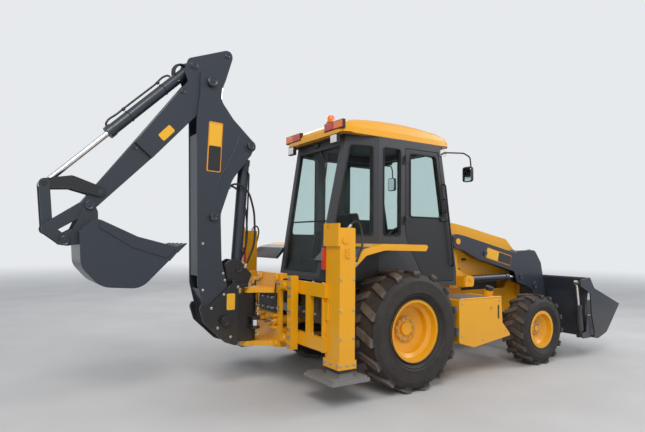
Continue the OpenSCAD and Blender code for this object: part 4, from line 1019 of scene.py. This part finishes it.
def side_tank_dress():
    pipes("tank_top_lip", [(664, 1098, 905), (1000, 1098, 906), (1366, 1098, 905)], 0.016, YELLOW, CHASSIS)
    tread = box("tank_step_tread", at(690, 690, 903), at(1180, 1082, 909))
    pick(tread, lambda c, n: n.z > 0.9)
    bpy.ops.mesh.subdivide(number_cuts=9)
    bpy.ops.mesh.inset(thickness=0.010, depth=0.004, use_individual=True)
    bpy.ops.object.mode_set(mode="OBJECT")
    on_both_sides(tread, WORN, CHASSIS)
    axis = Vector((0, math.sin(math.radians(18)), math.cos(math.radians(18))))
    cap = drum("filler_cap", at(1290, 960, 890) + axis * 0.094, axis, 0.047, 0.040, 40)
    turned(cap, axis, (0.01, 0.004), (0.012, -0.004))
    soften(cap, 0.003, 2)
    smooth(cap)
    on_both_sides(cap, BLACK, CHASSIS)
    scatter("tank_bolts", "bolt", [(at(x, s * 1100, z), (0, s, 0), 0.009) for s in (1, -1) for x, z in
                                  ((700, 860), (1335, 860), (700, 500), (1440, 500), (1040, 430))], ZINC, CHASSIS)
    on_both_sides(side_plate("tank_round_plug", 1198, 783, 46, 46, 0, 1100, 4, 0.02), FOIL_EDGE, CHASSIS)
    on_both_sides(side_plate("tank_hinge_strip", 1318, 730, 22, 157, 0, 1100, 5, 0.004), BLACK, CHASSIS)


def hood_dress():
    pipes("hood_rib", [(1230, 300, 1795), (1420, 300, 1786), (2400, 300, 1600)], 0.014, YELLOW, "hood")
    on_both_sides(block("hood_latch", (1500, 373, 1300), (1580, 386, 1330), 0.003, 2, OUT, 0.005, 0.004), TRIM,
                  "hood")
    frames = []
    for x, z in ((1896, 1286), (2046, 1246), (2196, 1206)):
        corners = rounded_outline([(x, z), (x + 118, z), (x + 118, z + 30), (x, z + 30)], 8, 3)
        frames.append(frame_round("slot", [at(u, 376, w) for u, w in corners], 0.005))
    on_both_sides(joined("hood_slot_rims", frames), BLACK, "hood")
    scatter("hood_bolts", "bolt", [(at(x, s * 375, 1120), (0, s, 0),
                                    0.008) for s in (1, -1) for x in (1540, 1900, 2260, 2560)],
            ZINC, "hood")


def rear_frame_dress():
    """Stabilizer tubes: collar bolts, port bosses, top caps, adjusters and reflectors."""
    bolts = []
    for s in (1, -1):
        bolts += [(at(x, s * 1188, 401), (0, s, 0), 0.011) for x in (-1000, -925, -848)]
        bolts += [(at(-1024, s * y, 401), BACK, 0.011) for y in (955, 1060, 1164)]
        bolts += [(at(x, s * 1180, z), (0, s, 0), 0.010) for x in (-996, -850) for z in (1180, 900, 640)]
        bolts += [(at(-1010, s * y, z), UP, 0.013) for y in (720, 900) for z in (1130, 620)]
    scatter("rear_frame_bolts", "bolt", bolts, ZINC, CHASSIS)

    def port(x, z, radius):
        boss = drum("leg_port_boss", at(x, 1178, z), (0, 1, 0), radius, 0.016, 32)
        turned(boss, OUT, (radius * 0.28, 0.004), (radius * 0.2, -0.006))
        return boss
    bosses = joined("leg_port_bosses", [port(-955, 1545, 0.030), port(-928, 1458, 0.021), port(-928, 1429, 0.020),
                                        port(-928, 1400, 0.021)])
    smooth(bosses)
    on_both_sides(bosses, YELLOW, CHASSIS)
    eye = drum("leg_lifting_eye", at(-1028, 1010, 1672), BACK, 0.014, 0.004, 24)
    turned(eye, BACK, (0.004, -0.003))
    on_both_sides(eye, TRIM, CHASSIS)
    for name, lo, hi, material, slot in (("leg_top_cap", (-1008, 948, 1652), (-837, 1177, 1662), YELLOW,
                                          "yellow_paint"),
                                         ("leg_reflector", (-1035, 903, 1265), (-1010, 947, 1470), RED, "lamp_lens"),
                                         ("leg_wear_adjuster", (-1026, 925, 790), (-1009, 1015, 950), YELLOW,
                                          "yellow_paint"),
                                         ("leg_wear_strip", (-1022, 925, 667), (-1009, 960, 792), YELLOW,
                                          "yellow_paint")):
        on_both_sides(block(name, lo, hi, 0.003, 2, UP if "cap" in name else BACK, 0.007, 0.002), material, CHASSIS)
    for s, name in SIDES:
        hose("stabilizer_hose_" + name, [(x, s * y, z) for x, y, z in (
            (-850, 1090, 1660), (-820, 1100, 1705), (-770, 1110, 1725), (-735, 1120, 1680), (-728, 1140, 1600),
            (-745, 1166, 1500),
            (-790, 1169, 1400), (-828, 1158, 1300))], 0.020, CHASSIS)


def rear_frame_hoses():
    """The dark valve with its unions between the two beams, on each side."""
    parts = []
    rows = [553 + k * 70 for k in range(4)]
    for k, y in enumerate(rows):
        parts += [block("section", (-1000, y - 33, 775), (-885, y + 33, 915), 0.005, 2, BACK, 0.014,
                        0.006 if k % 2 else -0.008),
                  drum("spool", at(-998, y, 868), BACK, 0.019, 0.006, 20)]
    parts.append(block("plate", (-1001, 470, 735), (-990, 880, 1004), 0.002))
    on_both_sides(joined("frame_valve", parts), BLACK, CHASSIS)
    unions = [collar("union", at(-940, y, 915), UP, 0.013, 0.035) for y in rows]
    unions += [collar("union", at(-1006, rows[k], 820), BACK, 0.012, 0.024) for k in (0, 1, 3)]
    on_both_sides(joined("frame_unions", unions), ZINC, CHASSIS)
    for k, y in enumerate(rows):
        pipes("frame_lead_%d" % k, bent([(-940, y, 945), (-940, y, 985), (-940, 300 - k * 30, 985 - k * 4),
                                         (-900, 300 - k * 30, 1014)], 24), 0.018, HOSE, CHASSIS)


def stabilizer_dress():
    for s, name in SIDES:
        for k, x in enumerate((-1030, -790)):
            scatter("foot_bolts_%s_%d" % (name, k), "bolt", [(at(x, s * y, 274), UP, 0.011) for y in (790, 1200)],
                    WORN,
                    "stabilizer_" + name)
        scatter("foot_pin_heads_" + name, "cap",
                [(at(x, s * 1060, 306), (a, 0, 0), 0.020) for x, a in ((-990, -1), (-855, 1))], PAD,
                "stabilizer_" + name)


# ---------------------------------------------------------------- backhoe


def caps(name, places, body, material=None):
    """Pin heads on both sides, each (x, z, y, radius) in millimetres."""
    scatter(name, "cap", [(at(x, s * y, z), (0, s, 0), r / 1000) for x, z, y, r in places for s in (1, -1)],
            material or SLATE, body)


def backhoe_dress():
    caps("kingpost_pin_heads", [(-1715, 730, 202, 44), (-1530, 1240, 88, 36)], "kingpost", FRAME_BLACK)
    caps("boom_pin_heads", [(-1840, 1770, 152, 38), (-1884, 3137, 152, 50), (-1448, 2528, 152, 38)], "boom")
    caps("dipper_pin_heads", [(-1711, 3449, 108, 26), (-2061, 3285, 108, 36), (-2166, 3003, 108, 25)], "dipper")
    caps("dipper_boss_heads", [(-2598, 2404, 76, 25)], "dipper")
    caps("bucket_pin_heads", [(-2992, 1830, 190, 38), (-3177, 1520, 190, 42)], "hoe_bucket")
    for s, side in SIDES:
        plates(s, side, (("boom_plate_edge", -1837, 2480, 150, 510, -2.1, 130.2, 2.0, FOIL_EDGE, "boom"),
                         ("boom_plate_low", -1839, 2362, 128, 252, -2.1, 132.0, 1.6, FOIL_BLACK, "boom"),
                         ("boom_plate", -1833, 2604, 128, 228, -2.1, 132.0, 1.6, FOIL, "boom"),
                         ("dipper_plate", -2318, 2567, 157, 80, 47, 108.2, 2.0, FOIL, "dipper"),
                         ("kingpost_plate", -1645, 914, 90, 166, 0, 162.2, 2.0, FOIL, "kingpost")))
        pipe("boom_weld_rib_" + side, [(x, s * 131, z) for x, z in ((-1567, 2637), (-1628, 2460), (-1832, 2051))],
             0.012,
             "boom", SLATE, 6)
        pipe("boom_barrel_pipe_" + side, bent([(-1522, s * 56, 1440), (-1446, s * 62, 1460), (-1424, s * 62, 2250),
                                               (-1470, s * 50, 2290)], 26),
             0.018, "boom_barrel", BLACK)
    # The long pipe on the bucket cylinder, with its clamps
    along, out = Vector((-0.708, 0, -0.706)), Vector((-0.706, 0, 0.708))
    start = Vector((-2061, 0, 3285))
    knots = [start + along * d + out * o for d,
             o in ((1050, 56), (1030, 80), (900, 84), (420, 84), (260, 84), (236, 60))]
    pipe("bucket_barrel_pipe", [tuple(k) for k in knots], 0.020, "bucket_barrel", BLACK)
    clamps = []
    for d in (380, 820):
        centre = start + along * d
        clamps += [torus(at(*centre), along.to_track_quat("Z", "Y").to_euler(), 0.055, 0.005, 40),
                   drum("grip", at(*(centre - along * 12 + out * 82)), along, 0.016, 0.024, 16)]
    done(joined("bucket_barrel_clamps", clamps), BLACK, "bucket_barrel")
    guard = box("kingpost_hose_guide", at(-1632, 92, 1084), at(-1592, 158, 1128))
    inset(guard, lambda c, n: abs(n.x) > 0.9, 0.014, -0.008)
    soften(guard, 0.004, 2)
    on_both_sides(guard, FRAME_BLACK, "kingpost")
    scatter("kingpost_bolts", "bolt", [(at(x, s * 162, z), (0, s, 0), 0.011) for s in (1, -1) for x, z in
                                      ((-1570, 1060), (-1720, 990), (-1850, 860), (-1640, 560), (-1780, 660))], ZINC,
                                      "kingpost")
    scatter("boom_side_bolts", "bolt", [(at(x, s * 130, z), (0, s, 0), 0.010) for s in (1, -1) for x, z in
                                       ((-1700, 1130), (-1720, 1200), (-1940, 1500), (-1930, 1040))], ZINC, "boom")


def backhoe_hoses():
    """Hoses that loop between the arm's sections."""
    for k, y in enumerate((-34, 0, 34)):
        hose("head_loop_%d" % k, [(-2018, y, 3190), (-2080, y, 3240), (-2150, y, 3290 + 8 * k),
                                  (-2210, y, 3270 + 8 * k), (-2236, y, 3190),
                                  (-2196, y, 3120)], 0.022, "dipper")
    for k, y in enumerate((-100, 100)):
        hose("boom_foot_hose_%d" % k, [(-1690, y, 2060), (-1600, y, 2120), (-1480, y, 2080), (-1392, y, 1900),
                                       (-1366, y, 1700),
                                       (-1372, y, 1500), (-1420, y * 0.96, 1360), (-1470, y * 0.94, 1250)], 0.022,
                                       "boom",
             blend=("boom", "kingpost", (-1560, 0, 2060), (-1440, 0, 1400)))


def carriage_dress():
    """Clamp pistons, bolts and the feed hoses of the side-shift carriage."""
    parts = []
    for s in (1, -1):
        for y, z in ((190, 1140), (190, 452), (360, 1075), (360, 535)):
            piston = drum("piston", at(-1136, s * y, z), BACK, 0.036, 0.022, 36)
            turned(piston, BACK, (0.010, 0.005), (0.010, -0.005))
            parts.append(piston)
    pistons = joined("clamp_pistons", parts)
    soften(pistons, 0.002, 2)
    smooth(pistons)
    done(pistons, YELLOW, "carriage")
    bolts = [(at(-1145, s * y, z), BACK, 0.012) for s in (1, -1) for y in (455, 495)
             for z in (470, 560, 640, 820, 980, 1060, 1150)]
    bolts += [(at(x, s * 60, 1037), UP, 0.010) for s in (1, -1) for x in (-1330, -1400)]
    scatter("carriage_bolts", "bolt", bolts, ZINC, "carriage")
    # A thin dark plate between the clamp castings, with the hose unions on it: painted shade for the gap behind them.
    done(block("carriage_gap_shade_plate", (-1152, -205, 772), (-1136, 205, 982), 0.003, 2, BACK, 0.012, -0.005), TRIM,
         "carriage")
    done(joined("carriage_unions", [collar("union", at(-1150, y, z), BACK, 0.013, 0.030) for y in (-150, -60, 60, 150)
                                    for z in (822, 932)]), ZINC, "carriage")
    for s, side in SIDES:
        hose("swing_hose_" + side, [(-1139, s * 246, 1090), (-1168, s * 250, 1094), (-1184, s * 250, 1030),
                                    (-1186, s * 248, 940),
                                    (-1176, s * 250, 860), (-1146, s * 252, 812)], 0.018, "carriage")


# ---------------------------------------------------------------- loader


def loader_dress():
    caps("arm_pin_heads", [(1700, 1400, 600, 34), (2750, 950, 600, 44), (2440, 1080, 600, 36)], "loader_arms")
    caps("shovel_pin_heads", [(3010, 370, 636, 42)], "shovel")
    for s, side in SIDES:
        plates(s, side, (("arm_plate_edge", 1975, 1352, 510, 140, -13, 600.2, 2.0, FOIL_EDGE, "loader_arms"),
                         ("arm_plate_front", 2091, 1325, 262, 122, -13, 602.0, 1.6, FOIL_BLACK, "loader_arms"),
                         ("arm_plate", 1850, 1381, 232, 122, -13, 602.0, 1.6, FOIL, "loader_arms")))
        pipe("arm_front_pipe_" + side, bent([(2838, s * 560, 1200), (2866, s * 560, 1126), (2932, s * 560, 895),
                                             (3050, s * 560, 789)], 40),
             0.018, "loader_arms", ZINC)
    pipe("shovel_top_rail", [(3144, y, 1062) for y in (-1120, 0, 1120)], 0.03, "shovel", SLATE)
    scatter("cutting_edge_bolts", "bolt",
            [(at(3700, y, 492), (0.6, 0, -0.75), 0.016) for y in range(-1050, 1051, 210)], WORN, "shovel_clam")
    for s, side in SIDES:
        hose("lift_hose_" + side, [(1500, s * 480, 1000), (1560, s * 470, 960), (1640, s * 466, 952),
                                   (1720, s * 470, 985), (1750, s * 482, 1040),
                                   (1720, s * 500, 1075)], 0.020, CHASSIS)


# ---------------------------------------------------------------- the whole

place_camera()
make_stage()
dress_wheels()
roof_shell()
lamps()
window_seals()
door_furniture()
mirror = mirrors()
valve_block()
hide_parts("fittings")
wipers()
seat()
side_tank_dress()
hood_dress()
rear_frame_dress()
rear_frame_hoses()
stabilizer_dress()
backhoe_dress()
backhoe_hoses()
carriage_dress()
loader_dress()
for form in FORMS.values():
    bpy.data.objects.remove(form)
